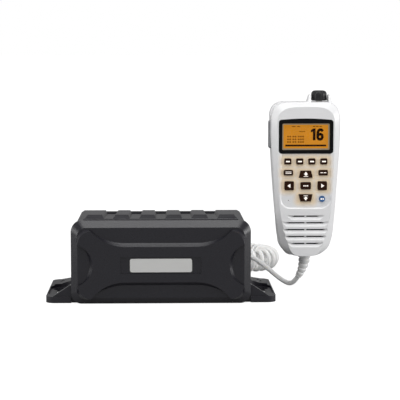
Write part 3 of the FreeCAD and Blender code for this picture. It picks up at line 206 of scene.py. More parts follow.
# real grains are finer than the picture shows, so they are drawn coarser here
whiteAbs = {"colour": "ececed", "rough": 0.3, "grain": 0.5, "bump": 0.05, "mottle": 0.015, "ior": 1.49,
            "coat": 0.15}
looks = {
    # die-cast aluminium under black powder coat: satin, with broad soft lights on the ribs
    "powderCoatedCasting": {"colour": "1c1b22", "rough": 0.36, "grain": 0.7, "bump": 0.25, "mottle": 0.06},
    # black moulded ABS: a little smoother than the casting, so its bevels catch thin lights
    "mouldedBlackAbs": {"colour": "1b1a21", "rough": 0.3, "grain": 0.6, "bump": 0.18, "mottle": 0.04,
                        "sheen": 0.55},
    # moulded rubber: matt, dark in the joints; the same black also stands as painted shade in the screw
    # heads' cross recesses
    "sealRubberAndPaintedShade": {"colour": "121214", "rough": 0.7, "grain": 0.5, "ior": 1.52},
    # brushed aluminium under clear lacquer: half metal, so it stays pale, with lines drawn out along X
    "brushedAluminium": {"colour": "e0e0de", "rough": 0.4, "roughSpread": 0.08, "grain": 0.4,
                         "stretch": (0.02, 1, 1), "metal": 0.5, "bump": 0.08, "mottle": 0.02},
    # nickel plating: bright and a little warm, it mirrors what is round it
    "nickelPlating": {"colour": "b9b6ae", "rough": 0.25, "grain": 0.4, "metal": 1.0},
    # moulded black nylon: dull, with a soft light on its edges
    "mouldedNylon": {"colour": "18181a", "rough": 0.45, "grain": 0.4},
    # turned stainless steel: small clear lights
    "stainlessSteel": {"colour": "a8a8a6", "rough": 0.3, "grain": 0.3, "metal": 1.0},
    # machined aluminium: cutter lines along X
    "machinedAluminium": {"colour": "9a9b9e", "rough": 0.35, "grain": 0.4, "stretch": (0.05, 1, 1),
                          "metal": 1.0},
    # green solder mask: glossy, blotched by what lies under it
    "solderMask": {"colour": "1f5a34", "rough": 0.4, "grain": 1.0, "mottle": 0.2, "mottleSize": 4.0,
                   "ior": 1.55},
    # moulded black PVC: dull and even
    "mouldedPvc": {"colour": "1a1a1c", "rough": 0.5, "grain": 0.5, "bump": 0.2},
    # extruded white polyurethane: smooth, with a little light inside it
    "polyurethaneJacket": {"colour": "efefee", "rough": 0.38, "grain": 0.6, "bump": 0.08, "mottle": 0.02,
                           "soft": 0.15},
    # white moulded ABS: clean, with a thin gloss
    "glossWhiteAbs": whiteAbs,
    # the same shell at the front, with the keys' backlight painted into its colour as a warm halo round each
    # key
    "whiteAbsPaintedKeyGlow": {**whiteAbs, "over": paintedKeyGlow},
    # black polycarbonate: deep, with hardly a reflection
    "blackPolycarbonate": {"colour": "0c0c0e", "rough": 0.3, "grain": 0.5, "bump": 0.02, "ior": 1.46,
                           "sheen": 0.15},
    # clear acrylic window: a faint gloss over what lies behind
    "clearAcrylic": {"colour": "ffffff", "rough": 0.03, "roughSpread": 0.01, "grain": 2.0, "bump": 0.0,
                     "mottle": 0.0, "ior": 1.49, "clear": 1.0, "open": 0.85},
    # lit amber film: even orange that hardly changes with the light on it
    "amberFilm": {"colour": "c98320", "rough": 0.6, "grain": 0.3, "bump": 0.0, "mottle": 0.06,
                  "mottleSize": 12.0, "glow": 0.8, "dark": 0.75, "sheen": 0.1},
    # the film's unlit edge: a dull pale line round the picture, kept pale by a painted glow
    "paleFilmPaintedGlow": {"colour": "a39379", "rough": 0.6, "grain": 0.5, "glow": 0.5, "dark": 0.6, "sheen": 0.1},
    # liquid crystal, full on: brown black and flat
    "darkCrystal": {"colour": "2e1504", "rough": 0.8, "grain": 0.3, "sheen": 0.05},
    # liquid crystal, half on: a weaker brown
    "faintCrystal": {"colour": "7c480c", "rough": 0.8, "grain": 0.3, "glow": 0.5, "dark": 0.6, "sheen": 0.05},
    # translucent silicone mat with lamps behind: warm light in the gaps round the keys
    "translucentSilicone": {"colour": "f0c58e", "rough": 0.5, "grain": 0.5, "glow": 0.4},
    # painted silicone keys: brown black, with almost no light on them
    "paintedSilicone": {"colour": "2c1508", "rough": 0.5, "grain": 0.4, "bump": 0.1, "ior": 1.45,
                        "sheen": 0.12},
    # signs cut through the keys' paint: pale and lit
    "litSign": {"colour": "f7efe6", "rough": 0.5, "grain": 0.4, "glow": 0.5},
    # blue moulded ABS: a small glossy button
    "glossBlueAbs": {"colour": "2c5f96", "rough": 0.3, "grain": 0.4, "ior": 1.49, "coat": 0.3},
    # soft-touch rubber: dark, with weak wide lights
    "softTouchRubber": {"colour": "232325", "rough": 0.4, "grain": 0.4, "bump": 0.2, "sheen": 0.3},
    # grey moulded silicone: dull
    "greySilicone": {"colour": "8a8b8e", "rough": 0.55, "grain": 0.4, "bump": 0.2},
    # red moulded ABS: glossy, easy to find
    "glossRedAbs": {"colour": "b3201a", "rough": 0.3, "grain": 0.5, "bump": 0.05, "ior": 1.49, "coat": 0.2},
    # woven polyester cloth: black and rough
    "wovenPolyester": {"colour": "1b1b1c", "rough": 0.9, "grain": 0.3, "bump": 0.6},
    # pressed steel: dark grey, half dull
    "pressedSteel": {"colour": "303033", "rough": 0.5, "grain": 0.5, "metal": 0.8},
}
materials = {name: surfaceMaterial(name, look) for name, look in looks.items()}
print("materials made", len(materials))


# CAD nodes: material and softened edges
crispAngle = math.radians(38)  # edges that stay sharper than this after the bevel keep a crisp shade


def makeSmoothTree():
    tree = bpy.data.node_groups.new("smoothShade", "GeometryNodeTree")
    for way in ("INPUT", "OUTPUT"):
        tree.interface.new_socket("Geometry", in_out=way, socket_type="NodeSocketGeometry")
    start = addNode(tree, "NodeGroupInput")
    smooth = addNode(tree, "GeometryNodeSetShadeSmooth", {"Geometry": start.outputs[0]})
    edgeTurn = addNode(tree, "GeometryNodeInputMeshEdgeAngle")
    sharp = addNode(tree, "ShaderNodeMath", {0: edgeTurn.outputs[0], 1: crispAngle}, operation="GREATER_THAN")
    crisp = addNode(tree, "GeometryNodeSetShadeSmooth", {
        "Geometry": smooth.outputs[0], "Selection": sharp.outputs[0], "Shade Smooth": False}, domain="EDGE")
    addNode(tree, "NodeGroupOutput", {0: crisp.outputs[0]})
    return tree


smoothTree = makeSmoothTree()
edges = {"weld": 2e-6, "angle": 32.0, "segments": 2, "least": 0.02}


def softEdges(item, width, angle=edges["angle"], segments=edges["segments"]):
    weld = item.modifiers.new("weld", "WELD")
    weld.merge_threshold = edges["weld"]
    bevel = item.modifiers.new("bevel", "BEVEL")
    bevel.width = width * mm
    bevel.segments = segments
    bevel.limit_method = "ANGLE"
    bevel.angle_limit = math.radians(angle)
    bevel.use_clamp_overlap = True
    shade = item.modifiers.new("shade", "NODES")
    shade.node_group = smoothTree
    weight = item.modifiers.new("weight", "WEIGHTED_NORMAL")
    weight.keep_sharp = True


# each node's finish and the width of its softened edges in mm
nodeLooks = {
    "upper_case": ("powderCoatedCasting", 0.7), "lower_case": ("powderCoatedCasting", 0.6),
    "rear_panel": ("powderCoatedCasting", 0.4), "front_cover": ("mouldedBlackAbs", 0.7),
    "cover_seal": ("sealRubberAndPaintedShade", 0.0), "name_plate": ("brushedAluminium", 0.2),
    "antenna_socket": ("nickelPlating", 0.25), "power_inlet": ("mouldedNylon", 0.3),
    "accessory_socket": ("mouldedNylon", 0.3), "handset_socket": ("nickelPlating", 0.3),
    "ground_terminal": ("stainlessSteel", 0.2), "main_board": ("solderMask", 0.0),
    "power_module": ("machinedAluminium", 0.4), "shield_can": ("nickelPlating", 0.2),
    "board_screws": ("stainlessSteel", 0.0), "case_screws": ("stainlessSteel", 0.2),
    "panel_screws": ("stainlessSteel", 0.2), "cord_plug": ("mouldedPvc", 0.3),
    "plug_ring": ("mouldedPvc", 0.4),
    "cord_curls": ("polyurethaneJacket", 0.0), "cord_lead_front": ("polyurethaneJacket", 0.0),
    "cord_lead_rear": ("polyurethaneJacket", 0.0), "strain_relief": ("polyurethaneJacket", 0.0),
    "handset_front_shell": ("whiteAbsPaintedKeyGlow", 0.25), "handset_rear_shell": ("glossWhiteAbs", 0.3),
    "knob_guards": ("glossWhiteAbs", 0.5), "shell_seal": ("sealRubberAndPaintedShade", 0.0),
    "display_frame": ("blackPolycarbonate", 0.5), "display_window": ("clearAcrylic", 0.1),
    "lcd_panel": ("amberFilm", 0.0), "keypad_mat": ("translucentSilicone", 0.0),
    "handset_board": ("solderMask", 0.0), "microphone": ("nickelPlating", 0.2),
    "speaker": ("pressedSteel", 0.3), "speaker_mesh": ("wovenPolyester", 0.0),
    "ptt_switch": ("mouldedNylon", 0.2), "ptt_button": ("greySilicone", 0.4),
    "encoder": ("nickelPlating", 0.2),
    "selector_knob": ("softTouchRubber", 0.25), "knob_shaft": ("nickelPlating", 0.1),
    "round_key": ("glossBlueAbs", 0.3), "hanger_stud": ("stainlessSteel", 0.4),
    "handset_screws": ("stainlessSteel", 0.1), "distress_pin": ("stainlessSteel", 0.1),
    "distress_cover": ("glossRedAbs", 0.3), "distress_button": ("glossRedAbs", 0.3),
}
nodeLooks.update({row[0]: ("paintedSilicone", 0.35) for row in keyRows})
for name, item in cadNodes.items():
    look, width = nodeLooks[name]
    item.data.materials.clear()
    item.data.materials.append(materials[look])
    softEdges(item, max(width, edges["least"]))
print("CAD nodes dressed", len(cadNodes))


# building helpers
def addPiece(name, data, body, look):
    item = bpy.data.objects.new(name, data)
    bpy.context.scene.collection.objects.link(item)
    data.materials.append(materials[look])
    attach(item, body)
    return item


def meshFrom(name, points, faces, smooth=False):
    data = bpy.data.meshes.new(name)
    data.from_pydata([tuple(point) for point in points], [], faces)
    data.update()
    if smooth:
        data.polygons.foreach_set("use_smooth", [True] * len(data.polygons))
    return data


def tidyNormals(data):
    bm = bmesh.new()
    bm.from_mesh(data)
    bmesh.ops.recalc_face_normals(bm, faces=bm.faces)
    bm.to_mesh(data)
    bm.free()
    return data


def circle(middle, first, second, radius, sides):
    # points round a middle, from the first direction towards the second
    turns = [2 * math.pi * k / sides for k in range(sides)]
    return [middle + first * (radius * math.cos(turn)) + second * (radius * math.sin(turn)) for turn in turns]


def loftRings(rings):
    # a closed form through rings of equal count
    points, faces = [], []
    count = len(rings[0])
    for ring in rings:
        points += ring
    for i in range(len(rings) - 1):
        for k in range(count):
            a, b = i * count + k, i * count + (k + 1) % count
            faces.append([a, b, b + count, a + count])
    faces.append([k for k in reversed(range(count))])
    faces.append([(len(rings) - 1) * count + k for k in range(count)])
    return points, faces


def joinForms(forms):
    points, faces = [], []
    for morePoints, moreFaces in forms:
        faces += [[len(points) + k for k in face] for face in moreFaces]
        points += morePoints
    return points, faces


def extrudeShapes(shapes, yFront, yBack):
    # closed outlines in the handset's x and z, made into thin solids that face -Y
    forms = []
    for shape in shapes:
        area = sum(a[0] * b[1] - b[0] * a[1] for a, b in zip(shape, shape[1:] + shape[:1]))
        outline = shape if area > 0 else shape[::-1]
        count = len(outline)
        points = [handsetPoint(x, y, z) for y in (yFront, yBack) for x, z in outline]
        faces = [[i for i in range(count)], [count + i for i in reversed(range(count))]]
        for i in range(count):
            after = (i + 1) % count
            faces.append([i, count + i, count + after, after])
        forms.append((points, faces))
    return joinForms(forms)


def stroke(line, width, overlap=0.18):
    # a run of quads along a line of points, each a little long so that they join
    shapes = []
    for (x0, z0), (x1, z1) in zip(line, line[1:]):
        run = Vector((x1 - x0, z1 - z0))
        along = run.normalized() * width * overlap
        side = Vector((-run.y, run.x)).normalized() * width / 2
        a, b = Vector((x0, z0)) - along, Vector((x1, z1)) + along
        shapes.append([tuple(a - side), tuple(b - side), tuple(b + side), tuple(a + side)])
    return shapes


def bar(x0, x1, z0, z1):
    return [(x0, z0), (x1, z0), (x1, z1), (x0, z1)]


# cord: one smooth spline on the CAD tubes' route; diameter and length in metres, the rest in mm
cord = {"diameter": 0.0048, "length": 1.61, "curlRadius": 9.6, "lift": 0.06, "pitchStraight": 5.7,
        "pitchBend": 7.9, "nearY": 141.0, "startX": 78.0, "bendX": 87.0, "bendRadius": 32.0, "endX": 47.0,
        "perTurn": 12, "easeRun": 8.0, "runOut": 4.8, "frontRun": 13.0, "rearRun": 16.0, "bootRun": 7.5,
        "sectionSteps": 5, "splineSteps": 4}
frontLead = [(131, 41.6, 2.7), (122, 52, 7), (110, 68, 16), (97.5, 87, 23.5), (85, 106, 25.5)]
rearLead = [(33, 238, 2.6), (14, 239, 2.6), (-6, 231, 2.6), (-24, 217, 2.6), (-38, 198, 2.6), (-46, 177, 2.6),
            (-47, 159, 12), (-44, 141, 30), (-42, 121, 38), (-42, 107, 38)]
boot = {"x": 0.8, "length": 24.0, "turn": math.radians(36), "lean": (-0.77, 0.64, 0.0), "radius": 6.4,
        "tip": 3.3, "ribs": 5, "groove": 1.0, "ribShare": 0.5, "plainFrom": 0.97, "rings": 72, "sides": 28}
down = Vector((0, 0, -1))


def curlAxis(s):
    # the curls' middle line: straight, round a half circle and straight back
    near = cord["bendX"] - cord["startX"]
    bend = math.pi * cord["bendRadius"]
    height = cord["curlRadius"] + cord["diameter"] / 2 / mm + cord["lift"]
    if s < near:
        return Vector((cord["startX"] + s, cord["nearY"], height)), Vector((0, 1, 0))
    if s < near + bend:
        turn = (s - near) / cord["bendRadius"]
        side = Vector((-math.sin(turn), math.cos(turn), 0))
        centre = Vector((cord["bendX"], cord["nearY"] + cord["bendRadius"], height))
        return centre - side * cord["bendRadius"], side
    past = s - near - bend
    return Vector((cord["bendX"] - past, cord["nearY"] + 2 * cord["bendRadius"], height)), Vector((0, -1, 0))


def curlPlaces():
    # where each quarter turn stands along the middle line, wider apart round the bend
    near = cord["bendX"] - cord["startX"]
    bend = math.pi * cord["bendRadius"]
    total = near + bend + cord["bendX"] - cord["endX"]
    run = cord["easeRun"]
    places = [0.0]
    while places[-1] < total:
        s = places[-1]
        ease = max(0.0, min(1.0, (s - near + run) / run, (near + bend + run - s) / run))
        pitch = cord["pitchStraight"] + (cord["pitchBend"] - cord["pitchStraight"]) * ease
        places.append(s + pitch / 4)
    quarters = len(places) - 1
    while quarters % 4 != 2:  # the last curl ends at its lowest point
        quarters -= 1
    return places[:quarters + 1]


def curlPoint(places, quarter, radius):
    whole = max(0, min(math.floor(quarter), len(places) - 2))
    middle, side = curlAxis(places[whole] + (places[whole + 1] - places[whole]) * (quarter - whole))
    turn = math.pi / 2 * quarter
    return middle - down * (radius * math.cos(turn)) + side * (radius * math.sin(turn))


def curlHeading(places, quarter, step=0.01):
    before, after = (curlPoint(places, quarter + side * step, cord["curlRadius"]) for side in (-1, 1))
    return (after - before).normalized()


def bootLine(share):
    turn = boot["turn"] * share
    lean = Vector(boot["lean"])
    bend = boot["length"] / boot["turn"]
    start = Vector((handset["x"] / mm + boot["x"], handset["seam"] / mm, handset["bottom"] / mm))
    place = start + lean * (bend * (1 - math.cos(turn))) + down * (bend * math.sin(turn))
    return place, lean * math.sin(turn) + down * math.cos(turn)


def cordRoute():
    places = curlPlaces()
    last = len(places) - 1
    radius = cord["curlRadius"]
    firstWay, lastWay = curlHeading(places, 0.0), curlHeading(places, float(last))
    start = curlPoint(places, 0.0, radius) - firstWay * cord["runOut"]
    end = curlPoint(places, float(last), radius) + lastWay * cord["runOut"]
    tip, way = bootLine(1.0)
    front = [tip, tip + way * cord["bootRun"], *frontLead, start - firstWay * cord["frontRun"], start]
    steps = cord["perTurn"] // 4
    wide = radius / math.cos(math.pi / cord["perTurn"])  # the spline runs inside its corner points
    helix = [curlPoint(places, q / steps, wide) for q in range(last * steps + 1)]
    rear = [end, end + lastWay * cord["rearRun"], *rearLead]
    return [Vector(point) * mm for point in front + helix + rear]


def makeCord():
    curve = bpy.data.curves.new("curlyCord", "CURVE")
    curve.dimensions = "3D"
    curve.bevel_depth = cord["diameter"] / 2
    curve.bevel_resolution = cord["sectionSteps"]
    curve.resolution_u = cord["splineSteps"]
    curve.use_fill_caps = True
    line = curve.splines.new("NURBS")
    line.points.add(len(route) - 1)
    for point, place in zip(line.points, route):
        point.co = (*place, 1.0)
    line.order_u = 3
    line.use_endpoint_u = True
    made = addPiece("curlyCord", curve, "root", "polyurethaneJacket")
    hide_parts("cord_lead_front", "cord_curls", "cord_lead_rear")
    return made


def makeBoot():
    lean = Vector(boot["lean"])
    across = Vector((lean.y, -lean.x, 0)).normalized()
    rings = []
    for i in range(boot["rings"] + 1):
        share = i / boot["rings"]
        place, way = bootLine(share)
        phase = (share * boot["ribs"]) % 1.0
        radius = boot["radius"] + (boot["tip"] - boot["radius"]) * share
        if phase >= boot["ribShare"] and share <= boot["plainFrom"]:
            radius -= boot["groove"] * math.sin(math.pi * (phase - boot["ribShare"]) / (1 - boot["ribShare"]))
        upward = across.cross(way).normalized()
        rings.append([point * mm for point in circle(place, across, upward, radius, boot["sides"])])
    data = tidyNormals(meshFrom("strainBoot", *loftRings(rings), True))
    made = addPiece("strainBoot", data, "root", "polyurethaneJacket")
    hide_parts("strain_relief")
    return made


route = cordRoute()
curlyCord = makeCord()
strainBoot = makeBoot()
print("cord made", len(route), "points")


# handset shell: soft facets from the flanks to the raised front
frontShell = {"wall": 2.2, "perSpan": 6, "flankTo": 17.6, "front": 10.0, "edge": 0.35, "edgeAngle": 24.0,
              "edgeSteps": 3, "flankShare": 0.5, "frontShare": 0.6, "cutPast": 1.0, "cutDeep": 6.0}
# outline and the raised front's edge, right half from the foot up: x, z, front x, front z
shellStations = (
    (0, 0.0, 0, 0.9), (6, 0.1, 5.2, 1.0), (11, 0.9, 9.4, 1.7), (15.2, 2.5, 12.4, 3.6), (19, 4.7, 14.6, 6.6),
    (22.4, 7.6, 16.2, 10.2), (24.8, 11.2, 17.4, 14.0), (26.5, 16.6, 19.2, 20), (28.0, 24, 21.3, 27),
    (29.3, 38, 24.3, 40), (30.5, 54, 26.2, 54), (31.5, 70, 27.0, 70), (32.8, 88, 27.7, 88),
    (33.9, 106, 28.4, 106), (34.7, 122, 28.9, 122), (34.8, 134, 28.9, 133), (34.4, 141.2, 28.0, 139.6),
    (32.3, 147.3, 25.6, 144.2), (28.6, 151.6, 21.8, 147.3), (23.6, 154.1, 17.2, 149.2),
    (18, 155.0, 12, 150.0), (9, 155.1, 6, 150.2), (0, 155.1, 0, 150.3),
)
# how far a facet has come forward at each share of its width
facetRise = ((0.03, 0.16), (0.1, 0.3), (0.24, 0.42), (0.5, 0.62), (0.76, 0.82), (0.9, 0.93), (0.97, 0.985),
             (1.0, 1.0))
keypad = {"half": 25.4, "low": 48.6, "high": 104.0, "recess": 0.9, "rim": 1.2, "corners": (10, 9.5, 8.5),
          "topCorner": 1}
frameHole = {"half": 27.1, "low": 104.2, "high": 137.2, "corner": 3}
keyHole = {"gap": 0.2, "corner": 1.3, "lean": {"up_key": 1.8, "down_key": -1.8}}
# round holes: x, z, radius, sides
roundHoles = {"roundKeyHole": (roundKey["x"], roundKey["z"], roundKey["hole"], 32),
              "soundHole": (-17, 56.9, 0.55, 12)}
# openings over the seam: outline, and how far each side of the seam
seamHoles = {"pttHole": (bar(-40, -30, 108.2, 136.4), 6.3), "shaftHole": (bar(10.9, 17.7, 148, 160), 3.4)}
louvreRows = ((41.1, 13.0), (34.5, 18.0), (27.6, 19.2), (20.7, 18.0), (13.6, 12.6))  # middle z, half width
# each step's section: deep, tall and raised, along it and at its faded ends
louvre = {"middle": (1.3, 4.6, 0.0), "end": (0.1, 1.6, 0.48), "shoulder": 1.0, "reach": 5.0, "lip": 0.9,
          "lipRise": 0.3, "lipDrop": 0.4, "foot": 1.9, "footDrop": 0.2, "slotHalf": 0.65, "slotCorner": 0.6,
          "web": 0.9}


def smoothLoop(stations, perSpan):
    # a smooth closed line through the stations and their mirror images
    loop = list(stations) + [(-a, b, -c, d) for a, b, c, d in reversed(stations[1:-1])]
    found = []
    for i in range(len(loop)):
        a, b, c, d = (Vector(loop[(i + k) % len(loop)]) for k in (-1, 0, 1, 2))
        for j in range(perSpan):
            t = j / perSpan
            found.append(0.5 * (2 * b + (c - a) * t + (2 * a - 5 * b + 4 * c - d) * t * t
                                + (3 * b - a - 3 * c + d) * t ** 3))
    return found


def insetLoop(loop, amount):
    # moves each point of a closed outline inwards along its own normal
    found = []
    for i, point in enumerate(loop):
        way = (loop[(i + 1) % len(loop)] - loop[i - 1]).normalized()
        found.append(point + Vector((-way.y, way.x)) * amount)
    return found


def frontRings(inset, back, front):
    loop = smoothLoop(shellStations, frontShell["perSpan"])
    outer = insetLoop([Vector((p[0], p[1])) for p in loop], inset)
    inner = insetLoop([Vector((p[2], p[3])) for p in loop], inset * frontShell["frontShare"])
    flank = frontShell["flankTo"] + inset * frontShell["flankShare"]
    rings = [[handsetPoint(p.x, y * mm, p.y) for p in outer] for y in (back, flank)]
    for share, rise in facetRise:
        y = (flank + (front - flank) * rise) * mm
        rings.append([handsetPoint(a.x + (b.x - a.x) * share, y, a.y + (b.y - a.y) * share)
                      for a, b in zip(outer, inner)])
    return rings


def roundedBox(x0, x1, z0, z1, radii, steps=5):
    # outline from the lower left round; radii for the four corners in the same order
    corners = ((x0, z0, 1, 1, 180), (x1, z0, -1, 1, 270), (x1, z1, -1, -1, 0), (x0, z1, 1, -1, 90))
    found = []
    for (x, z, sx, sz, start), radius in zip(corners, radii):
        for k in range(steps + 1):
            turn = math.radians(start + 90 * k / steps)
            found.append((x + sx * radius + radius * math.cos(turn),
                          z + sz * radius + radius * math.sin(turn)))
    return found


def keyOutline(name, x, z, width, height, grow):
    half, tall, lean = width / 2 + grow, height / 2 + grow, keyHole["lean"].get(name, 0.0)
    if not lean:
        return roundedBox(x - half, x + half, z - tall, z + tall, (keyHole["corner"],) * 4, 3)
    low, high = half + min(lean, 0), half - max(lean, 0)
    return [(x - low, z - tall), (x + low, z - tall), (x + high, z + tall), (x - high, z + tall)]


def cutterFrom(name, points, faces):
    item = bpy.data.objects.new(name, tidyNormals(meshFrom(name, points, faces)))
    bpy.context.scene.collection.objects.link(item)
    return item


def prismCutter(name, outlines):
    # outlines: (y in mm, [(x, z), ...]) from front to back
    rings = [[handsetPoint(x, y * mm, z) for x, z in outline] for y, outline in outlines]
    return cutterFrom(name, *loftRings(rings))


def frontCutter(name, outline):
    # straight through the front wall
    near, far = frontShell["front"] - frontShell["cutPast"], frontShell["front"] + frontShell["cutDeep"]
    return prismCutter(name, [(near, outline), (far, outline)])


def cutAway(item, cutters):
    # exact booleans with short-lived cutters, written back as one mesh
    for cutter in cutters:
        tool = item.modifiers.new(cutter.name, "BOOLEAN")
        tool.operation = "DIFFERENCE"
        tool.solver = "EXACT"
        tool.object = cutter
    depsgraph = bpy.context.evaluated_depsgraph_get()
    data = bpy.data.meshes.new_from_object(item.evaluated_get(depsgraph))
    for spent in (item, *cutters):
        bpy.data.objects.remove(spent)
    return data


def keypadCutters():
    front, rim, corner = frontShell["front"], keypad["rim"], keypad["topCorner"]
    depths = (front - frontShell["cutPast"], front, front + keypad["recess"])
    outlines = []
    for y, grow, top, foot in zip(depths, (rim, 0, -rim), (rim, 0, 0), keypad["corners"]):
        half, low = keypad["half"] + grow, keypad["low"] - grow
        outlines.append((y, roundedBox(-half, half, low, keypad["high"] + top, (foot, foot, corner, corner))))
    cutters = [prismCutter("keypadCrossShade", outlines)]
    half, low, high = frameHole["half"], frameHole["low"], frameHole["high"]
    cutters.append(frontCutter("frameHole", roundedBox(-half, half, low, high, (frameHole["corner"],) * 4)))
    for name, *place in keyRows:
        cutters.append(frontCutter(name, keyOutline(name, *place, keyHole["gap"])))
    for name, (x, z, radius, sides) in roundHoles.items():
        turns = [2 * math.pi * k / sides for k in range(sides)]
        outline = [(x + radius * math.cos(turn), z + radius * math.sin(turn)) for turn in turns]
        cutters.append(frontCutter(name, outline))
    return cutters


def louvreCutters():
    # each row is a shingle's step, deep under its lip and running out lower down, with a slot each side
    front, past = frontShell["front"], frontShell["cutPast"]
    cutters = []
    for z, half in louvreRows:
        ends, shoulders = half + louvre["reach"], half + louvre["shoulder"]
        sections = []
        for x, (deep, tall, rise) in ((-ends, louvre["end"]), (-shoulders, louvre["middle"]),
                                      (shoulders, louvre["middle"]), (ends, louvre["end"])):
            section = ((front - past, louvre["lipRise"]), (front, 0.0), (front + deep, -louvre["lipDrop"]),
                       (front + deep, -louvre["foot"]), (front, -tall),
                       (front - past, -tall - louvre["footDrop"]))
            sections.append([handsetPoint(x, y * mm, z + louvre["lip"] + v + rise) for y, v in section])
        cutters.append(cutterFrom("louvreStep", *loftRings(sections)))
        for x0, x1 in ((-half, -louvre["web"]), (louvre["web"], half)):
            z0, z1 = z - louvre["slotHalf"], z + louvre["slotHalf"]
            slot = roundedBox(x0, x1, z0, z1, (louvre["slotCorner"],) * 4, 3)
            cutters.append(frontCutter("louvreSlot", slot))
    return cutters


def makeFrontShell():
    wall, back, front = frontShell["wall"], handset["seam"] / mm, frontShell["front"]
    blank = cutterFrom("shellBlank", *loftRings(frontRings(0.0, back, front)))
    hollow = cutterFrom("hollow", *loftRings(frontRings(wall, back + frontShell["cutPast"], front + wall)))
    cutters = [hollow] + keypadCutters() + louvreCutters()
    for name, (outline, reach) in seamHoles.items():
        cutters.append(prismCutter(name, [(back - reach, outline), (back + reach, outline)]))
    data = cutAway(blank, cutters)
    data.name = "handsetFront"
    made = addPiece("handsetFront", data, "root", "whiteAbsPaintedKeyGlow")
    softEdges(made, frontShell["edge"], frontShell["edgeAngle"], frontShell["edgeSteps"])
    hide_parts("handset_front_shell")


makeFrontShell()
print("handset shell made")


# display: marks stand a hair proud of the panel's front face; face in metres, the rest in mm
display = {"face": 0.0131, "half": 23.6, "low": 107.6, "high": 133.8, "border": 1.3, "over": 1.0,
           "borderProud": 0.06, "inkProud": 0.05, "faintProud": 0.045, "stroke": 2.6,
           "statusZ": (130.3, 131.2), "dotZ": (125.2, 126.3), "dotWide": 1.3, "textMark": 1.5}
digitOne = [(7.0, 117.0), (9.7, 117.0), (9.7, 128.8), (7.6, 128.8), (5.0, 127.2), (5.0, 124.7), (7.0, 125.7)]
digitSix = [(16.6, 126.3), (15.7, 127.4), (14.2, 127.7), (12.8, 126.9), (12.0, 125.0), (11.8, 122.0),
            (11.9, 119.6), (12.8, 118.2), (14.4, 117.9), (15.9, 118.5), (16.6, 120.2), (16.2, 122.2),
            (14.8, 123.2), (13.2, 122.9), (12.1, 121.6)]
underline = bar(-20.4, 20.4, 110.9, 112.7)
statusMarks = ((-14.0, 3.6), (-8.6, 2.6), (7.0, 2.4), (10.2, 2.4), (13.6, 2.4))  # left end and length
dotMarks = (-6.4, -4.4, -2.4)
textColumns = (-18.5, -16.3, -13.2, -11.0, -7.9, -5.7, -3.5)
textRows = (120.0, 117.2, 114.6)


def borderShapes():
    half, low, high, edge, over = (display[key] for key in ("half", "low", "high", "border", "over"))
    return [bar(-half - over, half + over, low - over, low + edge),
            bar(-half - over, half + over, high - edge, high + over),
            bar(-half - over, -half + edge, low + edge, high - edge),
            bar(half - edge, half + over, low + edge, high - edge)]


def addMarks(name, shapes, face, proud, body, look):
    data = meshFrom(name, *extrudeShapes(shapes, face - proud * mm, face))
    addPiece(name, data, body, look)


inkShapes = [digitOne] + stroke(digitSix, display["stroke"]) + [underline]
faintShapes = [bar(x, x + width, *display["statusZ"]) for x, width in statusMarks]
faintShapes += [bar(x, x + display["dotWide"], *display["dotZ"]) for x in dotMarks]
markSide = display["textMark"]
faintShapes += [bar(x, x + markSide, z, z + markSide) for z in textRows for x in textColumns]
for name, shapes, proud, look in (("lcdBorder", borderShapes(), display["borderProud"], "paleFilmPaintedGlow"),
                                  ("lcdDigits", inkShapes, display["inkProud"], "darkCrystal"),
                                  ("lcdSigns", faintShapes, display["faintProud"], "faintCrystal")):
    addMarks(name, shapes, display["face"], proud, "root", look)
print("display made")


# signs on the keys, each on its own key; face in metres, the rest in mm
keySign = {"face": 0.0092, "proud": 0.04}
signs = {
    **{f"soft_key_{i}": [bar(-1.9, 1.9, -0.65, 0.65)] for i in (1, 2, 3, 4)},
    "side_key_left": [bar(-2.9, 2.9, 0.5, 1.1), bar(-2.9, 2.9, -0.9, -0.3)],
    "side_key_right": [bar(-2.9, -0.4, -0.4, 0.4), bar(0.4, 2.9, -0.4, 0.4)],
    "up_key": [[(-2.1, -0.1), (2.1, -0.1), (0, 2.6)], bar(-1.0, 1.0, -1.2, -0.1), bar(-2.2, 2.2, -2.4, -1.9)],
    "down_key": [[(-2.1, 0.1), (0, -2.6), (2.1, 0.1)], bar(-1.0, 1.0, 0.1, 1.2), bar(-2.2, 2.2, 1.9, 2.4)],
    "left_key": [[(-1.9, 0), (1.1, -2.1), (1.1, 2.1)]],
    "right_key": [[(1.9, 0), (-1.1, 2.1), (-1.1, -2.1)]],
    "centre_key": [bar(-2.4, -1.2, -0.6, 0.6), bar(-0.6, 0.6, -0.6, 0.6), bar(1.2, 2.4, -0.6, 0.6)],
    "round_key": [bar(-1.5, -0.4, -0.8, 0.8), bar(0.4, 1.5, -0.8, 0.8)],
}
signPlaces = [(name, name.replace("_", "") + "Sign", x, z, "key_plastic") for name, x, z, _, _ in keyRows]
signPlaces.append(("round_key", "roundKeySign", roundKey["x"], roundKey["z"], "blue_key"))
for node, name, x, z, slotName in signPlaces:
    shapes = [[(x + u, z + v) for u, v in shape] for shape in signs[node]]
    addMarks(name, shapes, keySign["face"], keySign["proud"], nodeBody[node], "litSign")
print("key signs made")


# domed screw heads; profile is share of the radius and of the height
screwHead = {"height": 1.8, "sides": 28, "profile": ((1.0, 0.0), (1.0, 0.55), (0.9, 0.85), (0.6, 1.0)),
             "edge": 0.12, "crossLong": 0.62, "crossWide": 0.13, "crossSpan": (0.9, 1.01)}


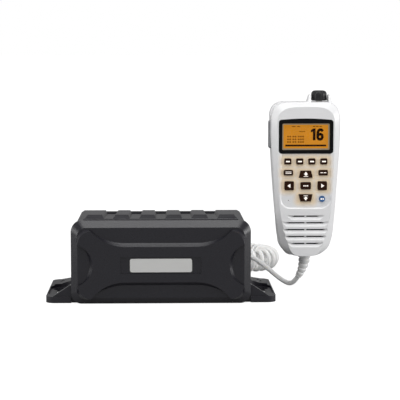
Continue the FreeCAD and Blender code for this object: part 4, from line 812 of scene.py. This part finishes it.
def screwHeads(name, places, way, radius, node):
    # way points out of the surface; each head is domed, with a dark cross on it as painted shade for its
    # cross recess
    turnTo = Vector((0, 0, 1)).rotation_difference(Vector(way)).to_matrix()
    across, upward, out = (turnTo @ Vector(axis) for axis in ((1, 0, 0), (0, 1, 0), (0, 0, 1)))
    wide, tall = radius * mm, screwHead["height"] * mm
    arm, half = wide * screwHead["crossLong"], wide * screwHead["crossWide"]
    heads, crosses = [], []
    for place in places:
        rings = [circle(place + out * (tall * up), across, upward, wide * share, screwHead["sides"])
                 for share, up in screwHead["profile"]]
        heads.append(loftRings(rings))
        for a, b in ((arm, half), (half, arm)):
            corners = [across * u + upward * v for u, v in bar(-a, a, -b, b)]
            crosses.append(loftRings([[place + corner + out * (tall * up) for corner in corners]
                                      for up in screwHead["crossSpan"]]))
    made = addPiece(name, meshFrom(name, *joinForms(heads)), "root", "stainlessSteel")
    softEdges(made, screwHead["edge"])
    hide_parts(node)
    # painted shade: dark crosses in place of the shade inside the heads' cross recesses
    data = meshFrom(name + "CrossShade", *joinForms(crosses))
    addPiece(name + "CrossShade", data, "root", "sealRubberAndPaintedShade")


panelScrews = [Vector((x, 65, z)) * mm for x in (-78, 78) for z in (9, 62)]
handsetScrews = [handsetPoint(side * x, 42.6 * mm, z)
                 for side in (-1, 1) for x, z in ((22.0, 46.5), (27.0, 144.5))]
caseScrews = [Vector((x, y, 2.2)) * mm for x in (-79.9, 79.9) for y in (-36, 46)]
screwHeads("panelScrewHeads", panelScrews, (0, 1, 0), 2.8, "panel_screws")
screwHeads("handsetScrewHeads", handsetScrews, (0, 1, 0), 2.4, "handset_screws")
screwHeads("caseScrewHeads", caseScrews, (0, 0, -1), 2.8, "case_screws")


# knob: a ribbed barrel with a rounded top
knob = {"x": 14.3, "low": 155.95, "height": 10.2, "radius": 7.8, "corner": 3.6, "cornerSteps": 8, "foot": 0.7,
        "dish": 0.5, "dishEdge": 1.2, "ribs": 20, "grip": 0.035, "gripFrom": 0.8, "gripTo": 0.6, "sides": 160}


def makeKnob():
    radius, height, corner = knob["radius"], knob["height"], knob["corner"]
    profile = [(0.0, radius - knob["foot"]), (knob["foot"], radius)]
    for i in range(knob["cornerSteps"] + 1):
        turn = math.pi / 2 * i / knob["cornerSteps"]
        profile.append((height - corner + corner * math.sin(turn), radius - corner + corner * math.cos(turn)))
    profile.append((height - knob["dish"], radius - corner - knob["dishEdge"]))
    centre = handsetPoint(knob["x"], handset["seam"], knob["low"])
    rings = []
    for up, wide in profile:
        grip = knob["grip"] if knob["gripFrom"] < up < height - knob["gripTo"] else 0.0
        ring = []
        for k in range(knob["sides"]):
            turn = 2 * math.pi * k / knob["sides"]
            reach = wide * (1 - grip * (0.5 + 0.5 * math.cos(knob["ribs"] * turn)))
            ring.append(centre + Vector((reach * math.cos(turn), reach * math.sin(turn), up)) * mm)
        rings.append(ring)
    data = meshFrom("knobCap", *loftRings(rings), True)
    made = addPiece("knobCap", data, nodeBody["selector_knob"], "softTouchRubber")
    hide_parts("selector_knob")


# two horns beside the knob, thick at the foot: height, inner and outer distance from its axis, half depth
hornSections = ((148.5, 8.7, 15.0, 10.2), (152.5, 8.7, 14.0, 10.0), (154.8, 8.7, 12.8, 9.6),
                (156.6, 8.7, 11.8, 9.0), (158.8, 8.7, 11.1, 8.2), (160.6, 8.75, 10.8, 7.0),
                (161.6, 8.9, 10.5, 5.6), (162.1, 9.3, 10.1, 4.0))
horn = {"corners": (0.5, 0.9, 0.9, 0.5), "edge": 0.2, "edgeAngle": 40.0}


def makeHorns():
    forms = []
    middle = handset["seam"] / mm
    for side in (-1, 1):
        rings = []
        for height, inner, outer, deep in hornSections:
            outline = roundedBox(inner, outer, middle - deep, middle + deep, horn["corners"], 3)
            rings.append([handsetPoint(knob["x"] + side * x, y * mm, height) for x, y in outline])
        forms.append(loftRings(rings))
    data = tidyNormals(meshFrom("knobHorns", *joinForms(forms), True))
    made = addPiece("knobHorns", data, "root", "glossWhiteAbs")
    softEdges(made, horn["edge"], horn["edgeAngle"])
    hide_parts("knob_guards")


# the side bar stands just proud of the flank; its face rounds over in steps: in from outer, in all round
talkBar = {"low": 108.6, "high": 136.0, "half": 5.9, "inner": 31.0, "outer": 36.3, "corner": 2.0, "edge": 0.3,
           "edgeAngle": 40.0, "steps": ((0.8, 0.0), (0.25, 0.35), (0.0, 1.1))}


def makeTalkBar():
    half, low, high, corners = talkBar["half"], talkBar["low"], talkBar["high"], (talkBar["corner"],) * 4
    steps = [(talkBar["outer"] - back, inset) for back, inset in talkBar["steps"]]
    rings = []
    for x, shrink in [(talkBar["inner"], 0.0)] + steps:
        outline = roundedBox(-half + shrink, half - shrink, low + shrink, high - shrink, corners)
        rings.append([handsetPoint(-x, handset["seam"] + y * mm, z) for y, z in outline])
    data = tidyNormals(meshFrom("talkBar", *loftRings(rings), True))
    made = addPiece("talkBar", data, nodeBody["ptt_button"], "greySilicone")
    softEdges(made, talkBar["edge"], talkBar["edgeAngle"])
    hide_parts("ptt_button")


# a fine helical ridge on the antenna socket's barrel
thread = {"x": 52.0, "z": 38.0, "start": 67.6, "radius": 7.85, "pitch": 1.06, "turns": 13, "perTurn": 24,
          "ridge": 0.28}


def makeThread():
    ridge = bpy.data.curves.new("antennaThread", "CURVE")
    ridge.dimensions = "3D"
    ridge.bevel_depth = thread["ridge"] * mm
    ridge.bevel_resolution = 1
    spiral = ridge.splines.new("POLY")
    spiral.points.add(thread["turns"] * thread["perTurn"])
    for i, point in enumerate(spiral.points):
        turns = i / thread["perTurn"]
        around = 2 * math.pi * turns
        x, z = thread["radius"] * math.cos(around), thread["radius"] * math.sin(around)
        place = Vector((thread["x"] + x, thread["start"] + thread["pitch"] * turns, thread["z"] + z)) * mm
        point.co = (*place, 1.0)
    addPiece("antennaThread", ridge, "root", "nickelPlating")


makeKnob()
makeHorns()
makeTalkBar()
makeThread()
print("small fittings made")


# stage: white floor and soft studio light; sizes in metres, grain in mm
stage = {"half": 30.0, "level": -0.0002, "grain": 25.0, "tones": ("949494", "9a9a9a"), "reach": (0.5, 2.5),
         "fill": (0.86, 1.0), "glossShare": 0.12, "ambient": 0.36, "white": 1.0}
# each lamp's place, what it points at, its size and its power in watts
lamps = {
    "topSoftbox": ((0.0, -0.35, 1.4), (0.03, 0.0, 0.05), (1.4, 0.7), 10.5),
    "frontSoftbox": ((0.0, -2.1, 1.6), (0.05, 0.0, 0.06), (1.2, 0.8), 15.5),
    "rightSoftbox": ((1.6, -0.3, 0.35), (0.1, 0.0, 0.08), (0.9, 0.6), 11.0),
    "leftSoftbox": ((-1.5, -0.3, 0.35), (0.0, 0.0, 0.08), (0.9, 0.6), 6.0),
}


def stageMaterial():
    made, tree = newMaterial("stageWhite")
    coords = addNode(tree, "ShaderNodeTexCoord").outputs["Object"]
    grain = addNode(tree, "ShaderNodeTexNoise", {"Vector": coords, "Scale": 1 / (stage["grain"] * mm)})
    low, high = (hexColour(code) for code in stage["tones"])
    tone = addNode(tree, "ShaderNodeMix", {0: grain.outputs["Fac"], 6: low, 7: high}, data_type="RGBA")
    shader = addNode(tree, "ShaderNodeBsdfDiffuse", {"Color": tone.outputs[2]})
    # the far floor gets less lamp light, so it makes up the rest to white itself
    reach = addNode(tree, "ShaderNodeVectorMath", {0: coords}, operation="LENGTH")
    near, far = stage["reach"]
    fill = addNode(tree, "ShaderNodeMapRange", {
        "Value": reach.outputs["Value"], "From Min": near, "From Max": far, "To Min": stage["fill"][0],
        "To Max": stage["fill"][1]})
    light = addNode(tree, "ShaderNodeEmission", {"Color": whiteLight, "Strength": fill.outputs[0]})
    path = addNode(tree, "ShaderNodeLightPath")
    # gloss and metal see only a small share of this white; more of it greys the black case
    glossy = addNode(tree, "ShaderNodeMath", {0: path.outputs["Is Glossy Ray"], 1: stage["glossShare"]},
                     operation="MULTIPLY")
    seen = addNode(tree, "ShaderNodeMath", {0: path.outputs["Is Camera Ray"], 1: glossy.outputs[0]},
                   operation="MAXIMUM")
    dim = addNode(tree, "ShaderNodeMixShader", {0: seen.outputs[0], 2: light.outputs[0]})
    both = addNode(tree, "ShaderNodeAddShader", {0: shader.outputs[0], 1: dim.outputs[0]})
    addNode(tree, "ShaderNodeOutputMaterial", {"Surface": both.outputs[0]})
    return made


def makeFloor():
    half = stage["half"]
    corners = [(x, y, stage["level"]) for x, y in bar(-half, half, -half, half)]
    data = meshFrom("studioFloor", corners, [[0, 1, 2, 3]])
    item = bpy.data.objects.new("studioFloor", data)
    bpy.context.scene.collection.objects.link(item)
    data.materials.append(stageMaterial())


def makeWorld():
    # the camera and the window see white; all else gets the weaker ambient light
    world = bpy.data.worlds.new("studioWorld")
    bpy.context.scene.world = world
    world.use_nodes = True
    tree = world.node_tree
    tree.nodes.clear()
    path = addNode(tree, "ShaderNodeLightPath")
    straight = {0: path.outputs["Is Camera Ray"], 1: path.outputs["Is Transmission Ray"]}
    seen = addNode(tree, "ShaderNodeMath", straight, operation="MAXIMUM")
    dim = addNode(tree, "ShaderNodeBackground", {"Color": whiteLight, "Strength": stage["ambient"]})
    white = addNode(tree, "ShaderNodeBackground", {"Color": whiteLight, "Strength": stage["white"]})
    pick = addNode(tree, "ShaderNodeMixShader", {0: seen.outputs[0], 1: dim.outputs[0], 2: white.outputs[0]})
    addNode(tree, "ShaderNodeOutputWorld", {"Surface": pick.outputs[0]})


def areaLight(name, place, target, size, power):
    data = bpy.data.lights.new(name, "AREA")
    data.shape = "RECTANGLE"
    data.size, data.size_y = size
    data.energy = power
    item = bpy.data.objects.new(name, data)
    item.location = place
    item.rotation_euler = (Vector(target) - Vector(place)).to_track_quat("-Z", "Y").to_euler()
    bpy.context.scene.collection.objects.link(item)


makeFloor()
makeWorld()
for name, lamp in lamps.items():
    areaLight(name, *lamp)
bpy.context.scene.view_settings.view_transform = "Standard"
print("stage made")


bpy.context.view_layer.update()
